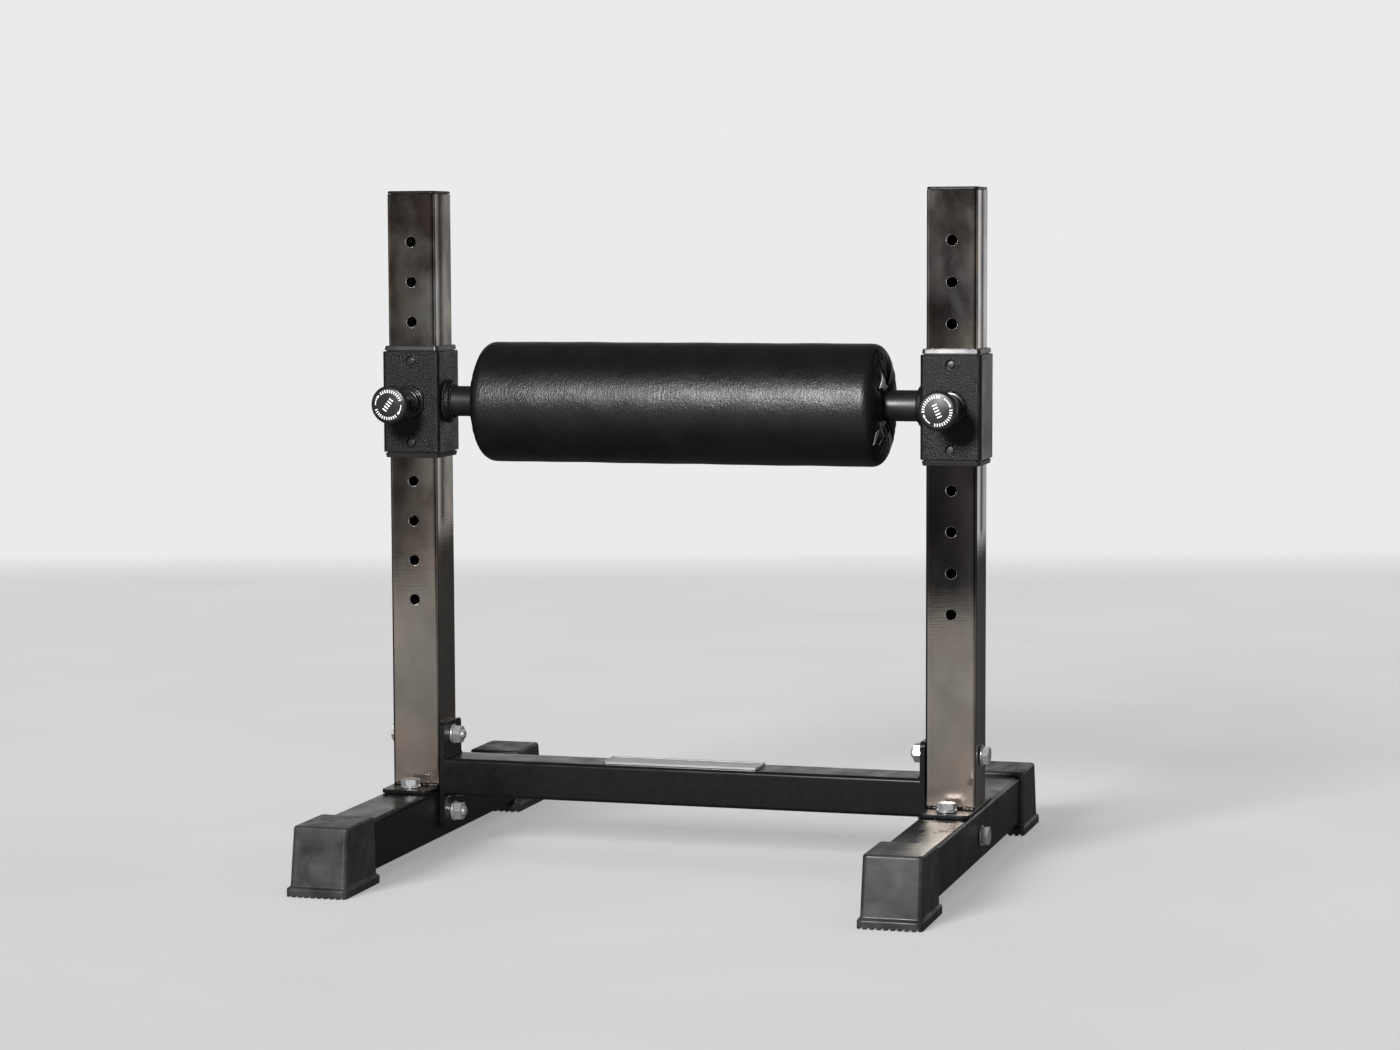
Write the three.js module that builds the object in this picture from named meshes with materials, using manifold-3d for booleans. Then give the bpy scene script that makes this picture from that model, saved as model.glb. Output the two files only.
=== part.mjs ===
// Split squat stand: two uprights on a black base carry a padded bar that slides up and down on sleeves.
// Millimetres, +Z up. The origin is on the floor under the middle, and the pull pins face -Y.
import * as THREE from "three";
import { mergeVertices } from "three/addons/utils/BufferGeometryUtils.js";
import Module from "manifold-3d";

const wasm = await Module();
wasm.setup();

// Driving dimensions of the stand
const baseTubeLength = 536;
const baseTubeSide = 50;
const uprightSide = 50;
const uprightTubeLength = 597;
const crossmemberDepth = 50;
const crossmemberHeight = 38;
const crossmemberAxisHeight = 74.3;
const sleeveSide = 60;
const sleeveHeight = 101;
const axleDiameter = 30.4;
const padDiameter = 120;
const padLength = 418;
const padSideGap = 37;
const pinTravel = 18;

// Adjusting holes, counted from the top of the upright
const adjustHoleDiameter = 10.4;
const adjustHolePitch = 40;
const adjustHoleCount = 10;
const adjustHoleDrop = 48;
const restHoleCount = 4;

// Walls, corners and fits
const baseTubeWall = 2.5;
const uprightWall = 2.5;
const crossmemberWall = 2.5;
const sleeveWall = 3;
const axleWall = 2.5;
const tubeCorner = 4;
const innerCorner = 1.6;
const clearance = 0.3;
const overrun = 2;

// Foot plate and end plate
const footPlateLength = 120;
const footPlateThickness = 4;
const footPlateCorner = 6;
const footBoltOffset = 41;
const uprightWeld = 3;
const endPlateThickness = 5;
const endPlateMargin = 14;
const endPlateCorner = 5;
const upperCrossBoltHeight = 115;
const ventDiameter = 16;
const crossmemberWeld = 2.5;
const weldSink = 1;

// Fasteners, M10
const boltDiameter = 10;
const boltHole = 10.6;
const hexAcrossFlats = 17;
const boltHeadHeight = 6.4;
const footBoltLength = 20;
const weldNutHeight = 8;
const washerDiameter = 20;
const washerThickness = 2;
const acornHexHeight = 8;
const acornHeight = 18;
const acornDomeDiameter = 16;
const acornBoreDepth = 13;
const acornThread = 11;
const hexChamfer = 1.2;
const boltChamfer = 1;

// Rubber boots
const bootSole = 11;
const bootFlangeWidth = 61;
const bootFlangeHeight = 9;
const bootFlangeChamfer = 2;
const bootFlangeLip = 5;
const bootNose = 23.5;
const bootHeel = 68.5;
const bootFlangeCorner = 6;
const bootBottomWidth = 57;
const bootTopWidth = 56;
const bootTopWall = 4;
const bootFrontLean = 9.5;
const bootBackLean = 2.5;
const bootCorner = 4.5;
const bootEdge = 2;
const treadCount = 9;
const treadDepth = 1.8;
const treadWidth = 3.3;

// Upright end cap
const capHeight = 2.6;
const capEdge = 1.4;
const capSkirt = 15;
const capWall = 2;

// Nameplate
const nameplateLength = 160;
const nameplateDepth = 34;
const nameplateThickness = 2;
const nameplateCorner = 3;
const nameplateRim = 1.6;
const nameplateRimHeight = 0.7;

// Sleeve liners and the axle's collars
const linerFlangeSide = 57.6;
const linerFlangeHeight = 5.6;
const linerEdge = 1.3;
const linerSkirt = 18;
const nubDiameter = 7.2;
const nubHole = 9.6;
const nubDrop = 9.5;
const nubRecess = 0.8;
const collarDiameter = 40;
const collarLength = 6;
const collarChamfer = 1.5;

// Pull pin: barrel, spring, pin and knob, measured along the pin from the sleeve's face
const barrelFlangeDiameter = 31;
const barrelFlangeLength = 5;
const barrelGrooveDiameter = 24;
const barrelGrooveLength = 3.5;
const barrelRingDiameter = 27;
const barrelRingLength = 6.5;
const barrelEdge = 1;
const guideTubeDiameter = 15.6;
const guideTubeLength = 19;
const guideBore = 11.8;
const guideFloor = 2;
const guideCrimp = 2;
const pinNoseDiameter = 10;
const pinNoseChamfer = 1.4;
const pinShoulderDiameter = 11.2;
const pinShoulderLength = 2;
const pinShaftDiameter = 6;
const pinHeadDiameter = 9;
const pinHeadLength = 2.4;
const springWire = 1;
const springTurns = 4;
const springDiameter = 10;
const knobDiameter = 38;
const knobFaceCrown = 1.2;
const knobRimRadius = 4;
const knobBand = 3.5;
const knobBackLength = 5;
const knobStemDiameter = 19;
const knobStemWall = 1.4;
const knobRootWall = 3;
const knobFaceWall = 3;

// Pad
const padShoulderLength = 16;
const padShoulderDepth = 14;
const padMouthDiameter = 56;
const padDish = 1.5;
const coverThickness = 2;
const pleatCount = 16;
const pleatHeight = 0.9;
const coreTubeWall = 2;
const coreTubeInset = 4;

// Facets
const quarterTurn = Math.PI / 2;
const cornerSteps = 3;
const boreSides = 16;
const turnedSides = 20;
const knobSides = 24;
const axleSides = 32;
const shoulderSteps = 3;
const pleatSteps = 4;
const wireSides = 5;
const curlSteps = 8;

// Places worked out from the sizes above
const uprightSpacing = padLength + 2 * padSideGap + sleeveSide;
const baseTubeTop = bootSole + baseTubeSide;
const baseTubeMiddle = bootSole + baseTubeSide / 2;
const footPlateTop = baseTubeTop + clearance + footPlateThickness;
const uprightTop = footPlateTop + uprightTubeLength;
const topHoleHeight = uprightTop - adjustHoleDrop;
const carriageHeight = topHoleHeight - restHoleCount * adjustHolePitch;
const crossBoltHeights = { lower: baseTubeMiddle, upper: upperCrossBoltHeight };
const crossmemberLength = uprightSpacing - uprightSide - 2 * clearance;
const sleeveFace = sleeveSide / 2;
const axleLength = uprightSpacing - sleeveSide - 2 * clearance;

// Colours, roughness and metalness seen in the photograph
const finishes = {
  blackCoat: { color: 0x17181a, roughness: 0.55, metalness: 0.3 },
  darkChrome: { color: 0x4a4541, roughness: 0.22, metalness: 0.95 },
  rubber: { color: 0x202123, roughness: 0.75, metalness: 0 },
  zinc: { color: 0xb9bbbd, roughness: 0.3, metalness: 0.95 },
  plate: { color: 0xa9abad, roughness: 0.35, metalness: 0.9 },
  glossPlastic: { color: 0x141416, roughness: 0.25, metalness: 0 },
  knobPlastic: { color: 0x1b1b1d, roughness: 0.4, metalness: 0 },
  leather: { color: 0x131315, roughness: 0.5, metalness: 0 },
  foam: { color: 0xd9d9d6, roughness: 0.95, metalness: 0 },
  core: { color: 0x3a3b3d, roughness: 0.6, metalness: 0 },
};

// Solids and booleans
function solidOf(geometry) {
  const plain = geometry.clone();
  plain.deleteAttribute("normal");
  plain.deleteAttribute("uv");
  const merged = mergeVertices(plain);
  const index = merged.index.array;
  const triVerts = [];
  for (let i = 0; i < index.length; i += 3) {
    const [a, b, c] = index.subarray(i, i + 3);
    if (a !== b && b !== c && c !== a) triVerts.push(a, b, c);
  }
  const mesh = new wasm.Mesh({
    numProp: 3,
    vertProperties: merged.attributes.position.array,
    triVerts: new Uint32Array(triVerts),
  });
  return new wasm.Manifold(mesh);
}

function geometryOf(solid) {
  const mesh = solid.getMesh();
  const geometry = new THREE.BufferGeometry();
  geometry.setAttribute("position", new THREE.BufferAttribute(mesh.vertProperties, 3));
  geometry.setIndex(new THREE.BufferAttribute(mesh.triVerts, 1));
  geometry.computeVertexNormals();
  return geometry;
}

function join(...geometries) {
  return geometryOf(geometries.map(solidOf).reduce((sum, solid) => sum.add(solid)));
}

function cut(body, ...tools) {
  return geometryOf(tools.map(solidOf).reduce((rest, tool) => rest.subtract(tool), solidOf(body)));
}

function common(first, second) {
  return geometryOf(solidOf(first).intersect(solidOf(second)));
}

// A level rectangle with round corners: corner points go round it from +X towards +Y
function roundRing({ width, depth, corner, height = 0, offset = 0 }) {
  const points = [];
  for (let quadrant = 0; quadrant < 4; quadrant++) {
    const centreX = (width / 2 - corner) * (quadrant === 0 || quadrant === 3 ? 1 : -1);
    const centreY = (depth / 2 - corner) * (quadrant < 2 ? 1 : -1);
    for (let step = 0; step <= cornerSteps; step++) {
      const angle = quarterTurn * (quadrant + step / cornerSteps);
      const x = centreX + corner * Math.cos(angle);
      const y = offset + centreY + corner * Math.sin(angle);
      points.push(new THREE.Vector3(x, y, height));
    }
  }
  return points;
}

// Joins rings of equally many points into one closed surface, capped at both ends or closed on itself
function skin(rings, closed = false) {
  const count = rings[0].length;
  const points = rings.flat();
  const index = [];
  const bands = closed ? rings.length : rings.length - 1;
  for (let band = 0; band < bands; band++) {
    const low = band * count;
    const high = ((band + 1) % rings.length) * count;
    for (let i = 0; i < count; i++) {
      const next = (i + 1) % count;
      index.push(low + i, low + next, high + next, low + i, high + next, high + i);
    }
  }
  if (!closed) {
    const last = (rings.length - 1) * count;
    for (let i = 1; i < count - 1; i++) {
      index.push(0, i + 1, i, last, last + i, last + i + 1);
    }
  }
  const geometry = new THREE.BufferGeometry().setFromPoints(points);
  geometry.setIndex(index);
  geometry.computeVertexNormals();
  return geometry;
}

function loft(levels) {
  return skin(levels.map(roundRing));
}

function roundShape(width, depth, corner) {
  const points = roundRing({ width, depth, corner });
  return new THREE.Shape(points.map((point) => new THREE.Vector2(point.x, point.y)));
}

function extrude(shape, length) {
  return new THREE.ExtrudeGeometry(shape, { depth: length, bevelEnabled: false });
}

function boxTube(width, depth, wall, length) {
  const shape = roundShape(width, depth, tubeCorner);
  shape.holes.push(roundShape(width - 2 * wall, depth - 2 * wall, innerCorner));
  return extrude(shape, length);
}

// A round bar, centred on the origin along the axis that is named
function rod(axis, diameter, length, sides = boreSides) {
  const geometry = new THREE.CylinderGeometry(diameter / 2, diameter / 2, length, sides);
  if (axis === "x") geometry.rotateZ(quarterTurn);
  if (axis === "z") geometry.rotateX(quarterTurn);
  return geometry;
}

// A turned piece about +Y from pairs of radius and height, listed anticlockwise in that half plane
function turned(outline, sides = turnedSides) {
  const points = outline.map(([radius, height]) => new THREE.Vector2(radius, height));
  return new THREE.LatheGeometry(points, sides);
}

function hexPrism(height) {
  const cornerRadius = hexAcrossFlats / Math.sqrt(3);
  const geometry = new THREE.CylinderGeometry(cornerRadius, cornerRadius, height, 6);
  return geometry.rotateX(quarterTurn).translate(0, 0, height / 2);
}

// Fillet weld along Y in the corner at the origin: one leg lies along +X and the other stands along +Z
function weldBead(leg, length) {
  const outline = [
    [-weldSink, -weldSink],
    [leg, -weldSink],
    [leg, 0],
    [0, leg],
    [-weldSink, leg],
  ];
  const shape = new THREE.Shape(outline.map(([x, y]) => new THREE.Vector2(x, y)));
  return extrude(shape, length)
    .translate(0, 0, -length / 2)
    .rotateX(quarterTurn);
}

// Base tube along Y, with a weld nut under each foot bolt hole
function baseTube() {
  const length = baseTubeLength;
  const tube = boxTube(baseTubeSide, baseTubeSide, baseTubeWall, length)
    .rotateX(quarterTurn)
    .translate(0, length / 2, 0);
  const nutTop = baseTubeSide / 2 - baseTubeWall;
  const nutBottom = nutTop - weldNutHeight;
  const places = [-footBoltOffset, footBoltOffset];
  const nuts = places.map((y) => hexPrism(weldNutHeight + baseTubeWall / 2).translate(0, y, nutBottom));
  const drillLength = weldNutHeight + baseTubeWall + 2 * overrun;
  const drills = places.map((y) =>
    rod("z", boltHole, drillLength).translate(0, y, (nutBottom + baseTubeSide / 2) / 2),
  );
  const crossDrill = rod("x", boltHole, baseTubeSide + 2 * overrun);
  return cut(join(tube, ...nuts), ...drills, crossDrill);
}

// Boot over the base tube's end. Its origin is on the floor under the tube's end, and the toe points to -Y.
function boot() {
  const flangeDepth = bootNose + bootHeel;
  const flangeMiddle = (bootHeel - bootNose) / 2;
  const flange = {
    width: bootFlangeWidth,
    depth: flangeDepth,
    corner: bootFlangeCorner,
    offset: flangeMiddle,
  };
  const flangeTop = {
    ...flange,
    width: bootFlangeWidth - 2 * bootFlangeChamfer,
    depth: flangeDepth - 2 * bootFlangeChamfer,
    height: bootFlangeHeight,
  };
  const flangeSide = { ...flange, height: bootFlangeHeight - bootFlangeChamfer };
  const sole = loft([flange, flangeSide, flangeTop]);
  const bottomDepth = flangeDepth - 2 * bootFlangeLip;
  const topDepth = bottomDepth - bootFrontLean - bootBackLean;
  const topMiddle = flangeMiddle + (bootFrontLean - bootBackLean) / 2;
  const topHeight = baseTubeTop + clearance + bootTopWall;
  const bottom = {
    width: bootBottomWidth,
    depth: bottomDepth,
    corner: bootCorner,
    offset: flangeMiddle,
    height: bootFlangeHeight / 2,
  };
  const shoulder = {
    width: bootTopWidth,
    depth: topDepth,
    corner: bootCorner,
    offset: topMiddle,
    height: topHeight - bootEdge,
  };
  const top = {
    ...shoulder,
    width: bootTopWidth - 2 * bootEdge,
    depth: topDepth - 2 * bootEdge,
    corner: bootCorner - bootEdge,
    height: topHeight,
  };
  const body = loft([bottom, shoulder, top]);
  const socketSide = baseTubeSide + 2 * clearance;
  const socketLength = bootHeel + overrun + clearance;
  const socket = extrude(roundShape(socketSide, socketSide, tubeCorner + clearance), socketLength)
    .rotateX(quarterTurn)
    .translate(0, socketLength - clearance, baseTubeMiddle);
  const pitch = bootFlangeWidth / (treadCount + 1 / 2);
  const grooves = Array.from({ length: treadCount }, (_, i) =>
    new THREE.BoxGeometry(treadWidth, flangeDepth + 2 * overrun, 2 * treadDepth).translate(
      (i - (treadCount - 1) / 2) * pitch,
      flangeMiddle,
      0,
    ),
  );
  return cut(join(sole, body), socket, ...grooves);
}

// Upright tube welded to its foot plate. Its origin is under the plate on the tube's centre line.
function upright() {
  const plate = extrude(roundShape(baseTubeSide, footPlateLength, footPlateCorner), footPlateThickness);
  const tube = boxTube(uprightSide, uprightSide, uprightWall, uprightTubeLength + footPlateThickness / 2)
    .translate(0, 0, footPlateThickness / 2);
  const beads = [-1, 1].map((end) =>
    weldBead(uprightWeld, uprightSide - 2 * tubeCorner)
      .rotateZ(end * quarterTurn)
      .translate(0, (end * uprightSide) / 2, footPlateThickness),
  );
  const wallMiddle = -(uprightSide - uprightWall) / 2;
  const topHole = topHoleHeight - baseTubeTop - clearance;
  const adjustHoles = Array.from({ length: adjustHoleCount }, (_, i) =>
    rod("y", adjustHoleDiameter, uprightWall + 2 * overrun).translate(
      0,
      wallMiddle,
      topHole - i * adjustHolePitch,
    ),
  );
  const footHoles = [-footBoltOffset, footBoltOffset].map((y) =>
    rod("z", boltHole, footPlateThickness + 2 * overrun).translate(0, y, footPlateThickness / 2),
  );
  const crossHole = rod("x", boltHole, uprightSide + 2 * overrun).translate(
    0,
    0,
    upperCrossBoltHeight - baseTubeTop - clearance,
  );
  return cut(join(plate, tube, ...beads), ...adjustHoles, ...footHoles, crossHole);
}

// Push-in cap, origin on the tube's top end
function endCap() {
  const level = { width: uprightSide, depth: uprightSide, corner: tubeCorner };
  const crown = loft([
    level,
    { ...level, height: capHeight - capEdge },
    {
      width: uprightSide - 2 * capEdge,
      depth: uprightSide - 2 * capEdge,
      corner: tubeCorner - capEdge,
      height: capHeight,
    },
  ]);
  const skirtSide = uprightSide - 2 * uprightWall - 2 * clearance;
  const bored = skirtSide - 2 * capWall;
  const shape = roundShape(skirtSide, skirtSide, innerCorner);
  shape.holes.push(roundShape(bored, bored, innerCorner));
  const skirt = extrude(shape, capSkirt + capHeight / 2).translate(0, 0, -capSkirt);
  return join(crown, skirt);
}

// Crossmember along X with an end plate welded on each end, origin at the tube's centre
function crossmember() {
  const tube = boxTube(crossmemberHeight, crossmemberDepth, crossmemberWall, crossmemberLength)
    .rotateY(quarterTurn)
    .translate(-crossmemberLength / 2, 0, 0);
  const boltSpan = upperCrossBoltHeight - baseTubeMiddle;
  const boltMiddle = (upperCrossBoltHeight + baseTubeMiddle) / 2 - crossmemberAxisHeight;
  const plateHeight = boltSpan + 2 * endPlateMargin;
  const vent = rod("x", ventDiameter, crossmemberLength + 2 * overrun);
  const pieces = [tube];
  const drills = [vent];
  for (const side of [-1, 1]) {
    const plateX = side * (crossmemberLength - endPlateThickness) / 2;
    const plate = extrude(roundShape(plateHeight, crossmemberDepth, endPlateCorner), endPlateThickness)
      .rotateY(quarterTurn)
      .translate(plateX - endPlateThickness / 2, 0, boltMiddle);
    pieces.push(plate);
    for (const face of [-1, 1]) {
      const bead = weldBead(crossmemberWeld, crossmemberDepth - 2 * tubeCorner)
        .rotateZ((1 + side) * quarterTurn)
        .rotateX((1 - face) * quarterTurn)
        .translate(side * (crossmemberLength / 2 - endPlateThickness), 0, (face * crossmemberHeight) / 2);
      pieces.push(bead);
    }
    for (const height of Object.values(crossBoltHeights)) {
      drills.push(
        rod("x", boltHole, endPlateThickness + 2 * overrun).translate(
          plateX,
          0,
          height - crossmemberAxisHeight,
        ),
      );
    }
  }
  return cut(join(...pieces), ...drills);
}

// Bare plate with a raised rim, origin under its middle
function nameplate() {
  const body = extrude(
    roundShape(nameplateLength, nameplateDepth, nameplateCorner),
    nameplateThickness + nameplateRimHeight,
  );
  const field = extrude(
    roundShape(
      nameplateLength - 2 * nameplateRim,
      nameplateDepth - 2 * nameplateRim,
      nameplateCorner - nameplateRim / 2,
    ),
    nameplateThickness,
  ).translate(0, 0, nameplateThickness);
  return cut(body, field);
}

// Hex bolt: the underside of its head is at the origin, and the shank points to -Z
function hexBolt(length) {
  const cornerRadius = hexAcrossFlats / Math.sqrt(3);
  const dome = turned([
    [0, 0],
    [cornerRadius, 0],
    [cornerRadius, boltHeadHeight - hexChamfer / 2],
    [hexAcrossFlats / 2 - hexChamfer / 2, boltHeadHeight],
    [0, boltHeadHeight],
  ]).rotateX(quarterTurn);
  const head = common(hexPrism(boltHeadHeight), dome);
  const radius = boltDiameter / 2;
  const shank = turned(
    [
      [0, -length],
      [radius - boltChamfer, -length],
      [radius, boltChamfer - length],
      [radius, boltHeadHeight / 2],
      [0, boltHeadHeight / 2],
    ],
    boreSides,
  ).rotateX(quarterTurn);
  return join(head, shank);
}

function washer() {
  const outer = washerDiameter / 2;
  const inner = boltHole / 2;
  return turned([
    [inner, 0],
    [outer, 0],
    [outer, washerThickness],
    [inner, washerThickness],
    [inner, 0],
  ], boreSides).rotateX(quarterTurn);
}

// Domed cap nut, origin on its seat, dome to +Z
function acornNut() {
  const domeRadius = acornDomeDiameter / 2;
  const domeFoot = acornHeight - domeRadius;
  const steps = shoulderSteps + 1;
  const arc = Array.from({ length: steps + 1 }, (_, i) => {
    const angle = (quarterTurn * i) / steps;
    return [domeRadius * Math.cos(angle), domeFoot + domeRadius * Math.sin(angle)];
  });
  arc[steps][0] = 0;
  const dome = turned([[0, acornHexHeight / 2], [domeRadius, acornHexHeight / 2], ...arc], boreSides)
    .rotateX(quarterTurn);
  const bore = rod("z", boltHole, 2 * acornBoreDepth);
  return cut(join(hexPrism(acornHexHeight), dome), bore);
}

// Sleeve that runs on the upright, origin at its middle. inward is the side that the axle is on.
function sleeve(inward) {
  const tube = boxTube(sleeveSide, sleeveSide, sleeveWall, sleeveHeight)
    .translate(0, 0, -sleeveHeight / 2);
  const outer = collarDiameter / 2;
  const inner = axleDiameter / 2 + clearance;
  const collar = turned(
    [
      [inner, -sleeveWall / 2],
      [outer, -sleeveWall / 2],
      [outer, collarLength - collarChamfer],
      [outer - collarChamfer, collarLength],
      [inner, collarLength],
      [inner, -sleeveWall / 2],
    ],
    axleSides,
  )
    .rotateZ(-inward * quarterTurn)
    .translate(inward * sleeveFace, 0, 0);
  const wallMiddle = -(sleeveSide - sleeveWall) / 2;
  const drillLength = sleeveWall + 2 * overrun;
  const pinHole = rod("y", boltHole, drillLength).translate(0, wallMiddle, 0);
  const nubHeight = sleeveHeight / 2 - nubDrop;
  const nubHoles = [-nubHeight, nubHeight].map((z) =>
    rod("y", nubHole, drillLength).translate(0, wallMiddle, z),
  );
  return cut(join(tube, collar), pinHole, ...nubHoles);
}

// Plastic liner pushed into a sleeve's end, origin on that end. Its nub snaps into the sleeve's front.
function liner() {
  const level = { width: linerFlangeSide, depth: linerFlangeSide, corner: tubeCorner };
  const flange = loft([
    { ...level, height: clearance },
    { ...level, height: linerFlangeHeight - linerEdge },
    {
      width: linerFlangeSide - 2 * linerEdge,
      depth: linerFlangeSide - 2 * linerEdge,
      corner: tubeCorner - linerEdge,
      height: linerFlangeHeight,
    },
  ]);
  const skirtSide = sleeveSide - 2 * sleeveWall - 2 * clearance;
  const skirt = extrude(roundShape(skirtSide, skirtSide, innerCorner), linerSkirt + linerFlangeHeight / 2)
    .translate(0, 0, -linerSkirt);
  const nubTip = sleeveFace - nubRecess;
  const nubRoot = skirtSide / 2 - (skirtSide - uprightSide) / 4;
  const nub = rod("y", nubDiameter, nubTip - nubRoot).translate(0, -(nubTip + nubRoot) / 2, -nubDrop);
  const boreSide = uprightSide + 2 * clearance;
  const boreLength = linerSkirt + linerFlangeHeight + 2 * overrun;
  const bore = extrude(roundShape(boreSide, boreSide, tubeCorner), boreLength)
    .translate(0, 0, -linerSkirt - overrun);
  return cut(join(flange, skirt, nub), bore);
}

// Places along the pull pin. Depths grow outwards from the sleeve's face, with the pin pulled out.
const barrelFoot = clearance;
const barrelRingEnd = barrelFoot + barrelFlangeLength + barrelGrooveLength + barrelRingLength;
const guideTubeEnd = barrelRingEnd + guideTubeLength;
const guideBoreStart = barrelFoot + guideFloor;
const guideBoreEnd = guideTubeEnd - guideCrimp;
const pinTip = uprightSide / 2 - sleeveFace + clearance;
const shoulderStart = guideBoreStart + clearance + pinTravel;
const shoulderEnd = shoulderStart + pinShoulderLength;
const springStart = shoulderEnd + clearance;
const springEnd = guideBoreEnd - clearance;
const knobMouth = barrelRingEnd + clearance + pinTravel;
const knobBoreEnd = guideTubeEnd + clearance + pinTravel;
const pinHeadStart = knobBoreEnd + knobRootWall + clearance;
const pinEnd = pinHeadStart + pinHeadLength;
const knobFace = pinEnd + clearance + knobFaceWall;

// A piece turned about the pin's axis: outline heights are depths, and the piece points to -Y
function pinTurned(outline, sides = turnedSides) {
  return turned(outline, sides).rotateZ(2 * quarterTurn).translate(0, -sleeveFace, 0);
}

// Barrel welded on the sleeve's face, with the guide tube that holds the spring
function pinBarrel() {
  const flange = barrelFlangeDiameter / 2;
  const groove = barrelGrooveDiameter / 2;
  const ring = barrelRingDiameter / 2;
  const tube = guideTubeDiameter / 2;
  const nose = pinNoseDiameter / 2 + clearance;
  const bore = guideBore / 2;
  const shaft = pinShaftDiameter / 2 + clearance;
  const flangeEnd = barrelFoot + barrelFlangeLength;
  const grooveEnd = flangeEnd + barrelGrooveLength;
  return pinTurned([
    [nose, barrelFoot],
    [flange, barrelFoot],
    [flange, flangeEnd - barrelEdge],
    [flange - barrelEdge, flangeEnd],
    [groove, flangeEnd],
    [groove, grooveEnd],
    [ring - barrelEdge, grooveEnd],
    [ring, grooveEnd + barrelEdge],
    [ring, barrelRingEnd - barrelEdge],
    [ring - barrelEdge, barrelRingEnd],
    [tube, barrelRingEnd],
    [tube, guideTubeEnd],
    [shaft, guideTubeEnd],
    [shaft, guideBoreEnd],
    [bore, guideBoreEnd],
    [bore, guideBoreStart],
    [nose, guideBoreStart],
    [nose, barrelFoot],
  ]);
}

// Steel pin: nose, shoulder for the spring, shaft and the head that holds the knob
function pullPin() {
  const nose = pinNoseDiameter / 2;
  const shoulder = pinShoulderDiameter / 2;
  const shaft = pinShaftDiameter / 2;
  const head = pinHeadDiameter / 2;
  return pinTurned(
    [
      [0, pinTip],
      [nose - pinNoseChamfer, pinTip],
      [nose, pinTip + pinNoseChamfer],
      [nose, shoulderStart],
      [shoulder, shoulderStart],
      [shoulder, shoulderEnd],
      [shaft, shoulderEnd],
      [shaft, pinHeadStart],
      [head, pinHeadStart],
      [head, pinEnd],
      [0, pinEnd],
    ],
    boreSides,
  );
}

// Coil spring round the pin's shaft, squeezed between the shoulder and the guide tube's crimped end
class Coil extends THREE.Curve {
  getPoint(t, target = new THREE.Vector3()) {
    const radius = (springDiameter - springWire) / 2;
    const angle = 4 * quarterTurn * springTurns * t;
    const start = springStart + springWire / 2;
    const depth = start + (springEnd - springStart - springWire) * t;
    return target.set(radius * Math.cos(angle), -sleeveFace - depth, radius * Math.sin(angle));
  }
}

function pinSpring() {
  const section = Array.from({ length: wireSides }, (_, i) => {
    const angle = (4 * quarterTurn * i) / wireSides;
    return new THREE.Vector2(Math.cos(angle), Math.sin(angle)).multiplyScalar(springWire / 2);
  });
  return new THREE.ExtrudeGeometry(new THREE.Shape(section), {
    steps: springTurns * curlSteps,
    extrudePath: new Coil(),
  });
}

// Knob: domed face, round rim, cone back and a hollow stem that slides over the guide tube
function knob() {
  const rim = knobDiameter / 2;
  const stem = knobStemDiameter / 2;
  const bore = stem - knobStemWall;
  const shaft = pinShaftDiameter / 2 + clearance;
  const head = pinHeadDiameter / 2 + clearance;
  const rimCentre = knobFace - knobFaceCrown - knobRimRadius;
  const bandStart = rimCentre - knobBand;
  const arc = Array.from({ length: shoulderSteps + 1 }, (_, i) => {
    const angle = (quarterTurn * i) / shoulderSteps;
    return [
      rim - knobRimRadius * (1 - Math.cos(angle)),
      rimCentre + knobRimRadius * Math.sin(angle),
    ];
  });
  return pinTurned([
    [bore, knobMouth],
    [stem, knobMouth],
    [stem, bandStart - knobBackLength],
    [rim, bandStart],
    ...arc,
    [0, knobFace],
    [0, pinEnd + clearance],
    [head, pinEnd + clearance],
    [head, pinHeadStart - clearance],
    [shaft, pinHeadStart - clearance],
    [shaft, knobBoreEnd],
    [bore, knobBoreEnd],
    [bore, knobMouth],
  ], knobSides);
}

function axle() {
  const shape = new THREE.Shape();
  shape.absarc(0, 0, axleDiameter / 2, 0, 4 * quarterTurn);
  const bore = new THREE.Path();
  bore.absarc(0, 0, axleDiameter / 2 - axleWall, 0, 4 * quarterTurn);
  shape.holes.push(bore);
  return new THREE.ExtrudeGeometry(shape, {
    depth: axleLength,
    bevelEnabled: false,
    curveSegments: axleSides / 2,
  })
    .rotateY(quarterTurn)
    .translate(-axleLength / 2, 0, 0);
}

// One end of the pad, inset from the cover's outside: places along X and radii, from the straight to the mouth
function padEnd(inset, steps) {
  const radius = padDiameter / 2 - inset;
  const straightEnd = padLength / 2 - padShoulderLength;
  const length = padShoulderLength - inset;
  const depth = padShoulderDepth - inset;
  const end = Array.from({ length: steps + 1 }, (_, i) => {
    const angle = (quarterTurn * i) / steps;
    return [straightEnd + length * Math.sin(angle), radius - depth * (1 - Math.cos(angle))];
  });
  end.push([straightEnd + length - padDish, padMouthDiameter / 2]);
  return end;
}

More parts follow.
